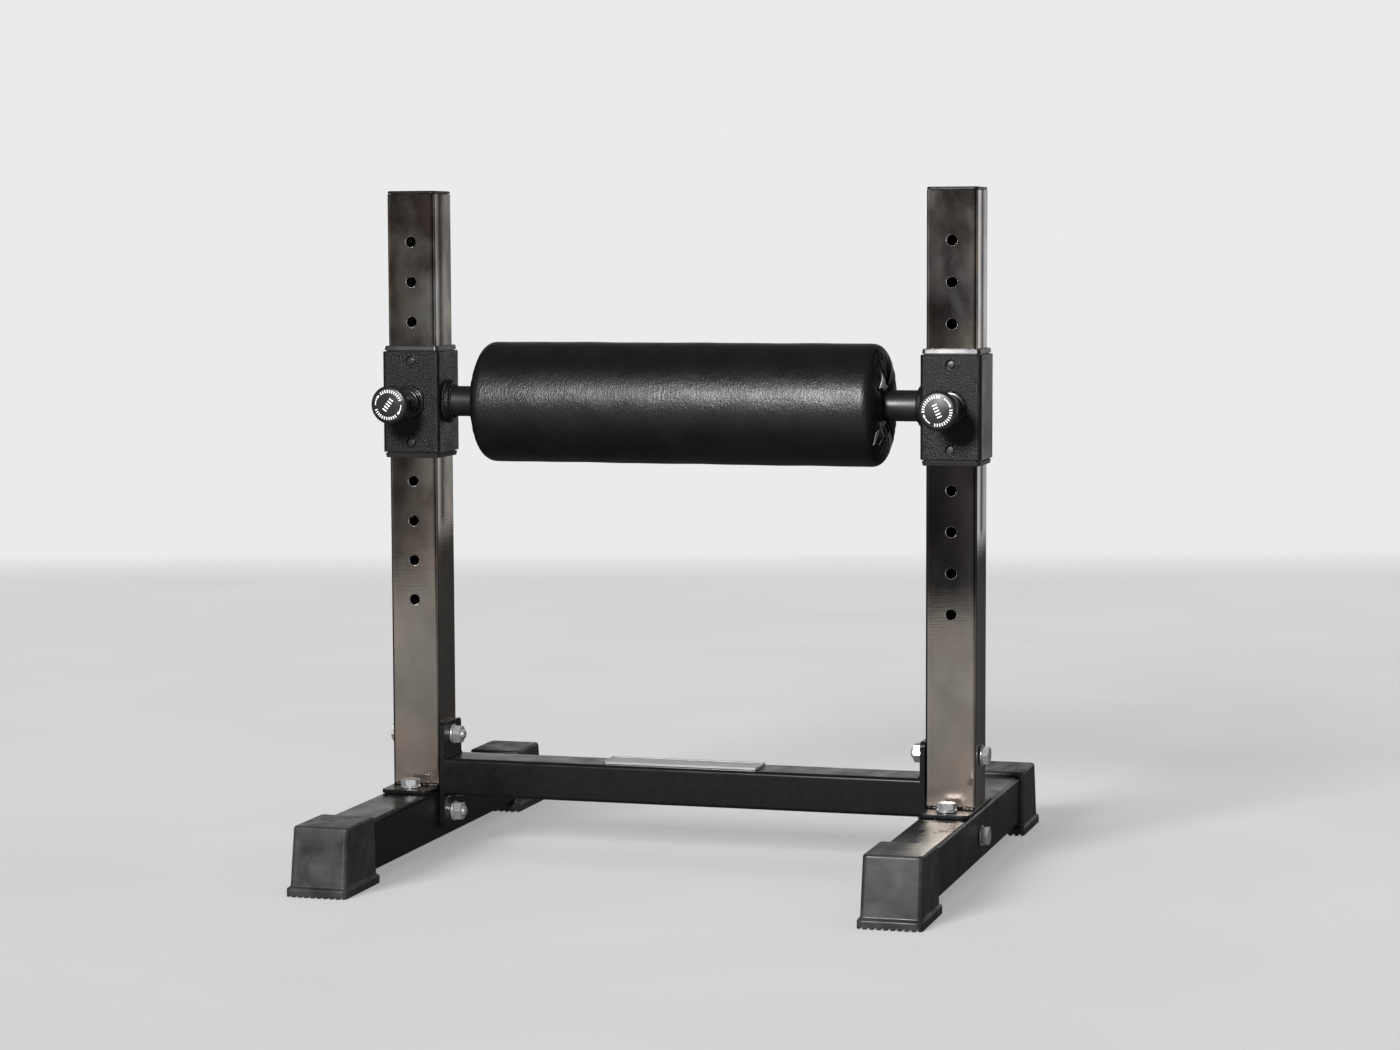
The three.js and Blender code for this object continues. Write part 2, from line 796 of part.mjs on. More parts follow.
// Leather cover: a skin drawn in at both ends, with gathers that grow towards the mouth
function padCover() {
  const outer = padEnd(0, shoulderSteps);
  const inner = padEnd(coverThickness, shoulderSteps - 1);
  const mirrored = (points) => points.map(([x, radius]) => [-x, radius]);
  const outline = [
    ...mirrored(outer).reverse(),
    ...outer,
    ...[...inner].reverse(),
    ...mirrored(inner),
  ];
  const gatherStart = padDiameter / 2 - padShoulderDepth / 2;
  const gatherSpan = gatherStart - padMouthDiameter / 2;
  const segments = pleatCount * pleatSteps;
  const rings = outline.map(([x, radius]) =>
    Array.from({ length: segments }, (_, i) => {
      const angle = (4 * quarterTurn * i) / segments;
      const gather = Math.max(0, (gatherStart - radius) / gatherSpan);
      const ripple = pleatHeight * gather * Math.cos(pleatCount * angle);
      const place = x - Math.sign(x) * (pleatHeight - ripple) * Math.min(1, gather);
      return new THREE.Vector3(place, radius * Math.cos(angle), radius * Math.sin(angle));
    }),
  );
  return skin(rings, true);
}

// Foam roll inside the cover, round the core tube
function padFoam() {
  const inset = coverThickness + clearance;
  const half = padEnd(inset, shoulderSteps - 1).slice(0, -1);
  const bore = axleDiameter / 2 + clearance + coreTubeWall + clearance;
  const pleatRoom = 2 * pleatHeight + padDish;
  const end = half.map(([x, radius]) => [Math.min(x, padLength / 2 - inset - pleatRoom), radius]);
  const last = end[end.length - 1][0];
  const outline = [
    [bore, -last],
    ...end.map(([x, radius]) => [radius, -x]).reverse(),
    ...end.map(([x, radius]) => [radius, x]),
    [bore, last],
    [bore, -last],
  ];
  return turned(outline, turnedSides).rotateZ(-quarterTurn);
}

function padCore() {
  const inner = axleDiameter / 2 + clearance;
  const outer = inner + coreTubeWall;
  const end = padLength / 2 - coreTubeInset;
  return turned(
    [
      [inner, -end],
      [outer, -end],
      [outer, end],
      [inner, end],
      [inner, -end],
    ],
    turnedSides,
  ).rotateZ(-quarterTurn);
}

// Places a named piece in a group, with its finish
function place(group, name, geometry, finish, position = [0, 0, 0], rotation = [0, 0, 0]) {
  const mesh = new THREE.Mesh(geometryOf(solidOf(geometry)), new THREE.MeshStandardMaterial(finishes[finish]));
  mesh.name = name;
  mesh.position.set(...position);
  mesh.rotation.set(...rotation);
  group.add(mesh);
}

// One side of the base: tube, boots, upright, cap and the foot bolts
function baseSide(stand, side, sign) {
  const group = new THREE.Group();
  group.position.x = (sign * uprightSpacing) / 2;
  stand.add(group);
  place(group, side + "_base_tube", baseTube(), "blackCoat", [0, 0, baseTubeMiddle]);
  place(group, side + "_front_boot", boot(), "rubber", [0, -baseTubeLength / 2, 0]);
  place(group, side + "_rear_boot", boot(), "rubber", [0, baseTubeLength / 2, 0], [0, 0, 2 * quarterTurn]);
  place(group, side + "_upright", upright(), "darkChrome", [0, 0, baseTubeTop + clearance]);
  place(group, side + "_upright_cap", endCap(), "glossPlastic", [0, 0, uprightTop + clearance]);
  for (const [end, y] of [["front", -footBoltOffset], ["rear", footBoltOffset]]) {
    const washerFoot = footPlateTop + clearance;
    const headFoot = washerFoot + washerThickness + clearance;
    place(group, `${side}_${end}_foot_washer`, washer(), "zinc", [0, y, washerFoot]);
    place(group, `${side}_${end}_foot_bolt`, hexBolt(footBoltLength), "zinc", [0, y, headFoot]);
  }
  crossFasteners(group, side, sign);
}

// Two bolts through the side and the crossmember's end plate, each with washers and a domed nut
function crossFasteners(group, side, sign) {
  const outwards = [0, sign * quarterTurn, 0];
  const inwards = [0, -sign * quarterTurn, 0];
  const outerFace = uprightSide / 2 + clearance;
  const headSeat = outerFace + washerThickness + clearance;
  const innerFace = uprightSide / 2 + clearance + endPlateThickness + clearance;
  const nutSeat = innerFace + washerThickness + clearance;
  const length = headSeat + nutSeat + acornThread;
  for (const [level, z] of Object.entries(crossBoltHeights)) {
    const name = (piece) => `${side}_${level}_${piece}`;
    place(group, name("cross_bolt"), hexBolt(length), "zinc", [sign * headSeat, 0, z], outwards);
    place(group, name("head_washer"), washer(), "zinc", [sign * outerFace, 0, z], outwards);
    place(group, name("nut_washer"), washer(), "zinc", [-sign * innerFace, 0, z], inwards);
    place(group, name("acorn_nut"), acornNut(), "zinc", [-sign * nutSeat, 0, z], inwards);
  }
}

// One side of the carriage: sleeve, liners and the pull pin
function carriageSide(carriage, side, sign) {
  const group = new THREE.Group();
  group.position.x = (sign * uprightSpacing) / 2;
  carriage.add(group);
  place(group, side + "_sleeve", sleeve(-sign), "blackCoat");
  place(group, side + "_upper_liner", liner(), "glossPlastic", [0, 0, sleeveHeight / 2]);
  const turnedOver = [0, 2 * quarterTurn, 0];
  place(group, side + "_lower_liner", liner(), "glossPlastic", [0, 0, -sleeveHeight / 2], turnedOver);
  place(group, side + "_pin_barrel", pinBarrel(), "blackCoat");
  place(group, side + "_pin_spring", pinSpring(), "zinc");
  place(group, side + "_pull_pin", pullPin(), "zinc");
  place(group, side + "_knob", knob(), "knobPlastic");
}

const stand = new THREE.Group();
const carriage = new THREE.Group();
carriage.position.z = carriageHeight;
stand.add(carriage);
for (const [side, sign] of [["left", -1], ["right", 1]]) {
  baseSide(stand, side, sign);
  carriageSide(carriage, side, sign);
}
place(stand, "crossmember", crossmember(), "blackCoat", [0, 0, crossmemberAxisHeight]);
const crossmemberTop = crossmemberAxisHeight + crossmemberHeight / 2;
place(stand, "nameplate", nameplate(), "plate", [0, 0, crossmemberTop + clearance]);
place(carriage, "axle", axle(), "blackCoat");
place(carriage, "pad_core", padCore(), "core");
place(carriage, "pad_foam", padFoam(), "foam");
place(carriage, "pad_cover", padCover(), "leather");

export default stand;
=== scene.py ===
# Split squat stand: camera, light and the dressed pieces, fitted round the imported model.
# Shapes are worked out in millimetres in the part's own frame, and piece() turns them into metres.
import math

import bmesh
import bpy
from mathutils import Matrix, Vector
from mathutils.bvhtree import BVHTree


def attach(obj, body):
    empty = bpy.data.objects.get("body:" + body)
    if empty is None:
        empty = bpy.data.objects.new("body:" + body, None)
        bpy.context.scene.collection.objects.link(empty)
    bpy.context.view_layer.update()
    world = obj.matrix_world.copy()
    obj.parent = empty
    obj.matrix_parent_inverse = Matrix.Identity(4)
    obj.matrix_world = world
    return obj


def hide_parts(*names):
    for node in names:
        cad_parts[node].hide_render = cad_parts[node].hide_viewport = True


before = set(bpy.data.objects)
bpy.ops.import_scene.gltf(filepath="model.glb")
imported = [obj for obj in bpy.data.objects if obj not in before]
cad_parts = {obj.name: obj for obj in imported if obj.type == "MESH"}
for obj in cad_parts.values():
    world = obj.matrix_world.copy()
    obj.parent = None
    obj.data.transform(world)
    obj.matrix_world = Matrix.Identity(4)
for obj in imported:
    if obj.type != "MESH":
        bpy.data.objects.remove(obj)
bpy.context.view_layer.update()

quarter_turn = math.pi / 2
millimetre = 0.001

# Camera at the photograph's viewing angle
heading = math.radians(-16.202)
tilt = math.radians(-4.967)
roll = math.radians(-0.215)
camera_place = Vector((0.9215, -3.1114, 0.6155))
lens_length = 84.41
sensor_width = 36
view_reach = 100

# Stage in metres, measured from the camera along its heading
floor_end = 6.45
floor_fade = 0.5
floor_near = 1.1
floor_half_width = 7.0
wall_grey = (0.831, 0.831, 0.831)
floor_grey = (0.76, 0.76, 0.76)
floor_glow = (0.75, 0.75, 0.75)
floor_glow_share = 0.4
scuff_shares = (0.96, 1.04)
room_fill = (0.22, 0.22, 0.22)
ceiling_grey = (0.1, 0.1, 0.1)
ceiling_slopes = (0.14, 0.4)

# Shiny surfaces see the floor dark beyond a line across the view, and darker on the left
unlit_floor = (0.09, 0.09, 0.09)
unlit_start = -0.6
unlit_fade = 0.12
unlit_left_share = 0.8
unlit_right_share = 0.5
unlit_left_end = -0.6
unlit_right_end = -0.2

# What shiny surfaces see round the room: heading in degrees from +Y towards +X, and brightness
room_panels = [
    (-180, 0.1), (-168, 0.2), (-165.3, 0.6), (-164, 0.6), (-162.5, 0.2), (-160, 0.22), (-158, 0.3),
    (-155.5, 0.6), (-142, 0.6), (-112, 0.6), (-100, 0.05), (-42, 0.06), (-30, 0.83), (10.2, 1.0),
    (10.5, 0.04), (12.3, 0.04), (12.6, 0.9), (17.0, 0.9), (17.3, 0.25), (17.9, 0.25), (18.1, 1.0),
    (19.2, 1.0), (19.4, 0.06), (20.1, 0.06), (20.3, 0.7), (26, 0.75), (30, 0.05), (68, 0.05),
    (76, 0.8), (112, 0.8), (122, 0.05), (180, 0.05),
]

# Places in the part's frame
upright_x = 276.0
uprights_x = {"left": -upright_x, "right": upright_x}
base_tube_end = 268.0
base_tube_height = 36.0
foot_plate_height = 61.3
foot_plate_top = 65.3
foot_bolt_y = 41.0
upright_top = 662.3
carriage_height = 454.3
crossmember_height = 74.3
crossmember_end = 250.7
nameplate_height = 93.6
cross_bolt_heights = {"lower": 36.0, "upper": 115.0}
top_hole_height = 614.3

# Sizes shared by several pieces
tube_side = 50.0
tube_wall = 2.5
tube_corner = 4.0
inner_corner = 1.6
play = 0.3
broken_edge = 0.4
foot_plate_length = 120.0
foot_plate_corner = 6.0
foot_plate_edge = 0.8
end_plate = 5.0
sleeve_side = 60.0
sleeve_face = sleeve_side / 2
sleeve_wall = 3.0
sleeve_height = 101.0

# Uprights and their adjusting holes, each in a shallow dimple
roll_depth = 0.28
upright_corner = 2.8
adjust_hole = 10.4
adjust_rim = 0.85
adjust_pitch = 40.0
adjust_count = 10
dimple_radius = 8.6
dimple_depth = 0.22

# Fasteners
bolt_hole = 10.6
bolt_radius = 5.0
thread_pitch = 1.5
thread_depth = 0.75
hex_flats = 17.0
hex_radius = hex_flats / math.sqrt(3)
head_height = 6.4
washer_radius = 10.0
washer_thickness = 2.0
hole_rim = 0.7

# Weld beads: the distance between the points of a straight bead
bead_step = 2.0

# Smoothness
corner_steps = 8
small_sides = 32
medium_sides = 48
round_sides = 64
fine_sides = 96


# Scene set-up
def linked(name, data):
    obj = bpy.data.objects.new(name, data)
    bpy.context.scene.collection.objects.link(obj)
    return obj


def set_all(thing, **values):
    for key, value in values.items():
        setattr(thing, key, value)


def add_camera():
    forward = Vector((math.sin(heading) * math.cos(tilt), math.cos(heading) * math.cos(tilt), math.sin(tilt)))
    level_right = Vector((math.cos(heading), -math.sin(heading), 0))
    level_up = level_right.cross(forward)
    right = math.cos(roll) * level_right + math.sin(roll) * level_up
    up = math.cos(roll) * level_up - math.sin(roll) * level_right
    data = bpy.data.cameras.new("camera")
    set_all(data, lens=lens_length, sensor_width=sensor_width, sensor_fit="HORIZONTAL", clip_end=view_reach)
    camera = linked("camera", data)
    facing = Matrix((right, up, -forward)).transposed().to_4x4()
    camera.matrix_world = Matrix.Translation(camera_place) @ facing
    bpy.context.scene.camera = camera


def add_light(name, kind, energy, direction, place=(0, 0, 0)):
    data = bpy.data.lights.new(name, kind)
    data.energy = energy
    lamp = linked(name, data)
    lamp.matrix_world = Matrix.Translation(place) @ direction.to_track_quat("-Z", "Y").to_matrix().to_4x4()
    return lamp


# A round soft box near the stand, in metres and watts
def add_soft_box(name, place, aim, size, power):
    lamp = add_light(name, "AREA", power, Vector(aim) - Vector(place), place)
    set_all(lamp.data, shape="DISK", size=size)
    return lamp


# A lamp far away: towards points to it, and spread_angle is how wide it looks, in degrees
def add_lamp(name, towards, spread_angle, strength):
    lamp = add_light(name, "SUN", strength, -Vector(towards))
    lamp.data.angle = math.radians(spread_angle)
    return lamp


# Lets a lamp light one thing only, or everything but that thing
def link_light(lamp, thing, state):
    reach = bpy.data.collections.new(lamp.name + "_reach")
    reach.objects.link(thing)
    reach.collection_objects[0].light_linking.link_state = state
    lamp.light_linking.receiver_collection = reach


# Node helpers
def new_node(tree, kind, inputs=None, **settings):
    node = tree.nodes.new(kind)
    set_all(node, **settings)
    for key, value in (inputs or {}).items():
        if isinstance(value, bpy.types.NodeSocket):
            tree.links.new(value, node.inputs[key])
        else:
            node.inputs[key].default_value = value
    return node


def object_place(tree):
    return new_node(tree, "ShaderNodeTexCoord").outputs["Object"]


def parted(tree, vector):
    return new_node(tree, "ShaderNodeSeparateXYZ", {0: vector}).outputs


def reckon(tree, operation, *values):
    return new_node(tree, "ShaderNodeMath", dict(enumerate(values)), operation=operation).outputs[0]


def stretched(tree, stretch):
    inputs = {"Vector": object_place(tree), "Scale": stretch}
    return new_node(tree, "ShaderNodeMapping", inputs).outputs["Vector"]


def noise(tree, scale, detail=3.0, stretch=(1, 1, 1), distortion=0.0):
    inputs = {"Vector": stretched(tree, stretch), "Scale": scale, "Detail": detail, "Distortion": distortion}
    return new_node(tree, "ShaderNodeTexNoise", inputs).outputs["Fac"]


# Object coordinates pushed about by a noise, in metres
def bent(tree, scale, reach):
    place = object_place(tree)
    push = new_node(tree, "ShaderNodeTexNoise", {"Vector": place, "Scale": scale, "Detail": 3.0})
    inputs = {0: push.outputs["Color"], 1: (reach, reach, reach), 2: place}
    return new_node(tree, "ShaderNodeVectorMath", inputs, operation="MULTIPLY_ADD").outputs["Vector"]


# Distance to the edges of a mesh of cells
def cells(tree, scale, place=None):
    inputs = {"Vector": place or stretched(tree, (1, 1, 1)), "Scale": scale}
    return new_node(tree, "ShaderNodeTexVoronoi", inputs, feature="DISTANCE_TO_EDGE").outputs["Distance"]


# Runs from low to high while the factor runs from start to end
def spread(tree, factor, low, high, start=0.3, end=0.7):
    inputs = {"Value": factor, "From Min": start, "From Max": end, "To Min": low, "To Max": high}
    return new_node(tree, "ShaderNodeMapRange", inputs).outputs["Result"]


def blend_colours(tree, factor, first, second):
    node = new_node(tree, "ShaderNodeMix", data_type="RGBA")
    sockets = [socket for socket in node.inputs if socket.enabled]
    for socket, value in zip(sockets, (factor, first, second)):
        if isinstance(value, bpy.types.NodeSocket):
            tree.links.new(value, socket)
        else:
            socket.default_value = (*value, 1)
    return next(socket for socket in node.outputs if socket.enabled)


def relief(tree, height, depth, under=None):
    inputs = {"Height": height, "Strength": 1.0, "Distance": depth}
    if under is not None:
        inputs["Normal"] = under
    return new_node(tree, "ShaderNodeBump", inputs).outputs["Normal"]


def shader_of(material):
    return material.node_tree.nodes["Principled BSDF"]


def finish(name, colour, roughness, metallic=0.0, specular=0.5):
    material = bpy.data.materials.new(name)
    material.use_nodes = True
    inputs = shader_of(material).inputs
    inputs["Base Color"].default_value = (*colour, 1)
    inputs["Roughness"].default_value = roughness
    inputs["Metallic"].default_value = metallic
    inputs["Specular IOR Level"].default_value = specular
    return material


# Gives a finish the roughness, colour and relief that its nodes work out
def dress(material, roughness=None, colour=None, normal=None):
    for name, value in (("Roughness", roughness), ("Base Color", colour), ("Normal", normal)):
        if value is not None:
            material.node_tree.links.new(value, shader_of(material).inputs[name])
    return material


def grey(shade, blue_share=1.0):
    return (shade, shade, shade * blue_share)


# Floor and room
def add_floor():
    along = Vector((math.sin(heading), math.cos(heading), 0))
    across = Vector((math.cos(heading), -math.sin(heading), 0))
    origin = Vector((camera_place.x, camera_place.y, 0))
    corners = []
    for far, side in ((floor_near, -1), (floor_near, 1), (floor_end, 1), (floor_end, -1)):
        corners.append(origin + along * far + across * side * floor_half_width)
    mesh = bpy.data.meshes.new("floor")
    mesh.from_pydata(corners, [], [(0, 1, 2, 3)])
    floor = linked("floor", mesh)
    material = finish("floor", floor_grey, 0.6, specular=0.2)
    tree = material.node_tree
    place = object_place(tree)
    reach = new_node(tree, "ShaderNodeVectorMath", {0: place, 1: along}, operation="DOT_PRODUCT")
    reach = reach.outputs["Value"]
    end = origin.dot(along) + floor_end
    fade = spread(tree, reach, 0.0, 1.0, end - floor_fade, end)
    clouds = spread(tree, noise(tree, 2.2, 6.0, distortion=0.5), 0, 1, 0.35, 0.65)
    scuffed = blend_colours(tree, clouds, *[[part * share for part in floor_grey] for share in scuff_shares])
    shine = new_node(tree, "ShaderNodeLightPath").outputs["Is Glossy Ray"]
    behind = spread(tree, reach, 0, 1, unlit_start, unlit_start + unlit_fade)
    sideways = parted(tree, place)["X"]
    leftward = spread(tree, sideways, unlit_left_share, unlit_right_share, unlit_left_end, unlit_right_end)
    unseen = reckon(tree, "MULTIPLY", shine, reckon(tree, "MAXIMUM", behind, leftward))
    dress(material, colour=blend_colours(tree, unseen, scuffed, unlit_floor))
    near_glow = blend_colours(tree, unseen, floor_glow, unlit_floor)
    far_glow = blend_colours(tree, fade, near_glow, wall_grey)
    glow = new_node(tree, "ShaderNodeEmission", {"Color": far_glow}).outputs["Emission"]
    share = spread(tree, fade, floor_glow_share, 1.0, 0.0, 1.0)
    mixed = new_node(tree, "ShaderNodeMixShader", {0: share, 1: shader_of(material).outputs["BSDF"], 2: glow})
    tree.links.new(mixed.outputs[0], tree.nodes["Material Output"].inputs["Surface"])
    mesh.materials.append(material)
    return floor


def add_room():
    world = bpy.data.worlds.new("studio")
    world.use_nodes = True
    bpy.context.scene.world = world
    tree = world.node_tree
    parts = parted(tree, new_node(tree, "ShaderNodeTexCoord").outputs["Generated"])
    bearing = reckon(tree, "ARCTAN2", parts["X"], parts["Y"])
    ramp = new_node(tree, "ShaderNodeValToRGB", {"Fac": spread(tree, bearing, 0, 1, -math.pi, math.pi)})
    stops = ramp.color_ramp.elements
    stops[-1].position = 1
    for angle, level in room_panels[1:-1]:
        stops.new((angle + 180) / 360)
    for stop, (angle, level) in zip(stops, room_panels):
        stop.color = (level, level, level, 1)
    overhead = spread(tree, parts["Z"], 0, 1, *ceiling_slopes)
    seen = blend_colours(tree, overhead, ramp.outputs["Color"], ceiling_grey)
    rays = new_node(tree, "ShaderNodeLightPath").outputs
    shine = reckon(tree, "MAXIMUM", rays["Is Glossy Ray"], rays["Is Transmission Ray"])
    lit = blend_colours(tree, shine, room_fill, seen)
    shown = blend_colours(tree, rays["Is Camera Ray"], lit, wall_grey)
    tree.links.new(shown, tree.nodes["Background"].inputs["Color"])


# Finishes. Noise scales are per metre, and depths of relief are in metres.
def powder_coat(name, shade, roughness, specular, grain, grain_depth):
    material = finish(name, grey(shade, 1.05), roughness, specular=specular)
    tree = material.node_tree
    dust = spread(tree, noise(tree, 120, 5), 0, 1, 0.45, 0.75)
    return dress(
        material,
        roughness=spread(tree, noise(tree, 35), roughness - 0.06, roughness + 0.08),
        colour=blend_colours(tree, dust, grey(shade), grey(shade * 1.5)),
        normal=relief(tree, noise(tree, grain, 2), grain_depth),
    )


def dark_chrome():
    material = finish("dark_chrome", (0.25, 0.22, 0.2), 0.14, metallic=1.0)
    tree = material.node_tree
    parts = parted(tree, object_place(tree))
    height = parts["Z"]

    # Smoky brown and violet clouds, which thin out towards the foot
    evenness = spread(tree, height, 0.75, 0, 0.25, 0.4)
    smoke = spread(tree, noise(tree, 26, 9, (1, 1, 0.7), 0.3), evenness, 1, 0.38, 0.62)
    warmth = spread(tree, noise(tree, 13, 4), 0, 1, 0.4, 0.6)
    pale = blend_colours(tree, warmth, (0.3, 0.25, 0.215), (0.25, 0.24, 0.21))
    brown = blend_colours(tree, smoke, (0.085, 0.066, 0.056), pale)
    violet = blend_colours(tree, smoke, (0.075, 0.069, 0.088), (0.27, 0.256, 0.285))
    cool = spread(tree, noise(tree, 9, 2), 0, 0.7, 0.46, 0.62)
    cooled = reckon(tree, "MULTIPLY", cool, spread(tree, height, 0, 1, 0.3, 0.45))
    tinted = blend_colours(tree, cooled, brown, violet)

    # The right upright is stained nearly black under the sleeve
    ragged = reckon(tree, "MULTIPLY_ADD", noise(tree, 34, 5), 0.05, height)
    stain_top = spread(tree, ragged, 1, 0, 0.43, 0.5)
    stain = reckon(tree, "MULTIPLY", spread(tree, ragged, 0, 1, 0.272, 0.312), stain_top)
    stain = reckon(tree, "MULTIPLY", stain, spread(tree, parts["X"], 0, 0.84, -0.1, 0.1))
    stained = blend_colours(tree, stain, tinted, (0.035, 0.03, 0.036))

    # The broken edges of the adjusting holes get a pale metal colour: a painted highlight on the rims
    facing = parted(tree, new_node(tree, "ShaderNodeNewGeometry").outputs["True Normal"])
    frontal = reckon(tree, "ABSOLUTE", facing["Y"])
    tilted = spread(tree, frontal, 1, 0, 0.9, 0.96)
    slanted = reckon(tree, "MULTIPLY", spread(tree, frontal, 0, 1, 0.3, 0.5), tilted)
    from_middle = reckon(tree, "ABSOLUTE", parts["X"])
    off_centre = reckon(tree, "ABSOLUTE", reckon(tree, "SUBTRACT", from_middle, upright_x * millimetre))
    rim_highlight = reckon(tree, "MULTIPLY", slanted, spread(tree, off_centre, 1, 0, 0.008, 0.009))

    # The sides are polished more than the front, and the foot is dulled by the weld's heat
    polish = spread(tree, reckon(tree, "ABSOLUTE", facing["X"]), 1.0, 0.25, 0.4, 0.8)
    smudge = reckon(tree, "MULTIPLY", spread(tree, noise(tree, 55, 5, (1, 1, 0.5)), 0.05, 0.12), polish)
    scorched = reckon(tree, "ADD", smudge, spread(tree, height, 0.3, 0, 0.07, 0.088))
    waves = relief(tree, noise(tree, 16, 2, (1, 1, 0.6)), 0.00007)
    return dress(
        material,
        roughness=reckon(tree, "MAXIMUM", scorched, reckon(tree, "MULTIPLY", rim_highlight, 0.34)),
        colour=blend_colours(tree, rim_highlight, stained, (0.62, 0.61, 0.59)),
        normal=relief(tree, noise(tree, 1100, 2, (0.03, 0.03, 1)), 0.000014, waves),
    )


def bright_metal(name, colour, roughness, brushing=(1, 1, 1), metallic=1.0):
    material = finish(name, colour, roughness, metallic=metallic)
    tree = material.node_tree
    stain = spread(tree, noise(tree, 90, 3), 0, 0.3, 0.45, 0.7)
    return dress(
        material,
        roughness=spread(tree, noise(tree, 180, 4), roughness - 0.04, roughness + 0.06),
        colour=blend_colours(tree, stain, colour, [part * 0.72 for part in colour]),
        normal=relief(tree, noise(tree, 900, 2, brushing), 0.00002),
    )


def moulded_plastic(name, shade, roughness, specular=0.5):
    material = finish(name, grey(shade, 1.04), roughness, specular=specular)
    tree = material.node_tree
    worn = spread(tree, noise(tree, 25, 3), 0, 1, 0.4, 0.7)
    return dress(
        material,
        roughness=spread(tree, noise(tree, 60, 4), roughness - 0.05, roughness + 0.1),
        colour=blend_colours(tree, worn, grey(shade), grey(shade * 1.35)),
        normal=relief(tree, noise(tree, 1500, 1), 0.00001),
    )


def boot_rubber():
    material = finish("boot_rubber", (0.04, 0.04, 0.041), 0.46, specular=0.38)
    tree = material.node_tree
    bloom = spread(tree, noise(tree, 38, 5, distortion=0.4), 0, 1, 0.35, 0.68)
    return dress(
        material,
        roughness=spread(tree, noise(tree, 70, 4), 0.32, 0.52),
        colour=blend_colours(tree, bloom, (0.013, 0.013, 0.0135), (0.04, 0.04, 0.041)),
        normal=relief(tree, noise(tree, 1300, 3), 0.00004),
    )


# Leather: pebbled grain, wrinkles round the pad, slow crumples and a net of fine creases
def black_leather(name, roughness, specular, crumple):
    material = finish(name, (0.004, 0.004, 0.0042), roughness, specular=specular)
    tree = material.node_tree
    rubbed = spread(tree, noise(tree, 30, 4), 0, 1, 0.4, 0.7)
    pebbles = relief(tree, cells(tree, 650), 0.00014)
    wrinkles = relief(tree, noise(tree, 560, 3, (1, 0.32, 0.32), 0.9), 0.00032, pebbles)
    drift = relief(tree, noise(tree, 110, 3, (0.6, 1, 1), 1.2), crumple, wrinkles)
    creases = spread(tree, cells(tree, 28, bent(tree, 30, 0.03)), 0, 1, 0.0, 0.018)
    return dress(
        material,
        roughness=spread(tree, noise(tree, 45, 4), roughness - 0.04, roughness + 0.04),
        colour=blend_colours(tree, rubbed, (0.0028, 0.0028, 0.003), (0.005, 0.005, 0.0053)),
        normal=relief(tree, creases, 0.00005, drift),
    )


def white_foam():
    material = finish("white_foam", (0.78, 0.78, 0.76), 0.9, specular=0.2)
    tree = material.node_tree
    shade = spread(tree, noise(tree, 200, 3), 0, 1)
    return dress(
        material,
        colour=blend_colours(tree, shade, (0.7, 0.7, 0.68), (0.82, 0.82, 0.8)),
        normal=relief(tree, cells(tree, 1100), 0.0003),
    )


def woven_cloth(name, shade):
    material = finish(name, grey(shade, 0.98), 0.9, specular=0.1)
    tree = material.node_tree
    worn = spread(tree, noise(tree, 260, 4), 0, 1)
    return dress(
        material,
        colour=blend_colours(tree, worn, grey(shade * 0.8), grey(shade * 1.1)),
        normal=relief(tree, cells(tree, 1600), 0.0001),
    )


# Mesh helpers. Every shape is a bmesh in millimetres until piece() takes it.
# Cosine and sine at even steps along an arc
def arc(steps, sweep=quarter_turn, start=0.0):
    angles = [start + sweep * i / steps for i in range(steps + 1)]
    return [(math.cos(angle), math.sin(angle)) for angle in angles]


def rounded_ring(width, depth, corner, height=0.0, offset=(0.0, 0.0)):
    ring = []
    for quadrant, (side_x, side_y) in enumerate(((1, 1), (-1, 1), (-1, -1), (1, -1))):
        centre_x = offset[0] + side_x * (width / 2 - corner)
        centre_y = offset[1] + side_y * (depth / 2 - corner)
        for step in range(corner_steps + 1):
            angle = quarter_turn * (quadrant + step / corner_steps)
            place = (centre_x + corner * math.cos(angle), centre_y + corner * math.sin(angle), height)
            ring.append(Vector(place))
    return ring


def square_ring(side, corner, height):
    return rounded_ring(side, side, corner, height)


# A square ring whose faces dip a little in the middle, as on drawn tube
def rolled_ring(side, corner, height, steps=20):
    flat = side / 2 - corner
    ring = []
    for quadrant in range(4):
        spin = Matrix.Rotation(quarter_turn * quadrant, 4, "Z")
        for i in range(1, steps):
            share = 2 * i / steps - 1
            dip = roll_depth * (1 - share**2)
            ring.append(spin @ Vector((side / 2 - dip, flat * share, height)))
        for cosine, sine in arc(corner_steps):
            ring.append(spin @ Vector((flat + corner * cosine, flat + corner * sine, height)))
    return ring


# Faces between each loop of points and the next. A loop of one point makes a fan.
def skinned(shape, loops, closed):
    pairs = list(zip(loops, loops[1:]))
    if closed:
        pairs.append((loops[-1], loops[0]))
    count = max(len(loop) for loop in loops)
    for low, high in pairs:
        for i in range(count):
            after = (i + 1) % count
            corners = [low[i % len(low)], low[after % len(low)], high[after % len(high)], high[i % len(high)]]
            corners = list(dict.fromkeys(corners))
            if len(corners) > 2:
                shape.faces.new(corners)


def lofted(rings, closed=False):
    shape = bmesh.new()
    loops = [[shape.verts.new(point) for point in ring] for ring in rings]
    skinned(shape, loops, closed)
    if not closed:
        shape.faces.new(list(reversed(loops[0])))
        shape.faces.new(loops[-1])
    return shape


# A turned shape about +Z from pairs of radius and height. It closes on itself or on the axis.
def turned(outline, sides=round_sides):
    shape = bmesh.new()
    closed = outline[0] == outline[-1]
    ring = arc(sides, math.tau)[:-1]
    loops = []
    for radius, height in outline[:-1] if closed else outline:
        spots = ring if radius > 0 else ring[:1]
        loops.append([shape.verts.new((radius * x, radius * y, height)) for x, y in spots])
    skinned(shape, loops, closed)
    bmesh.ops.recalc_face_normals(shape, faces=shape.faces)
    return shape


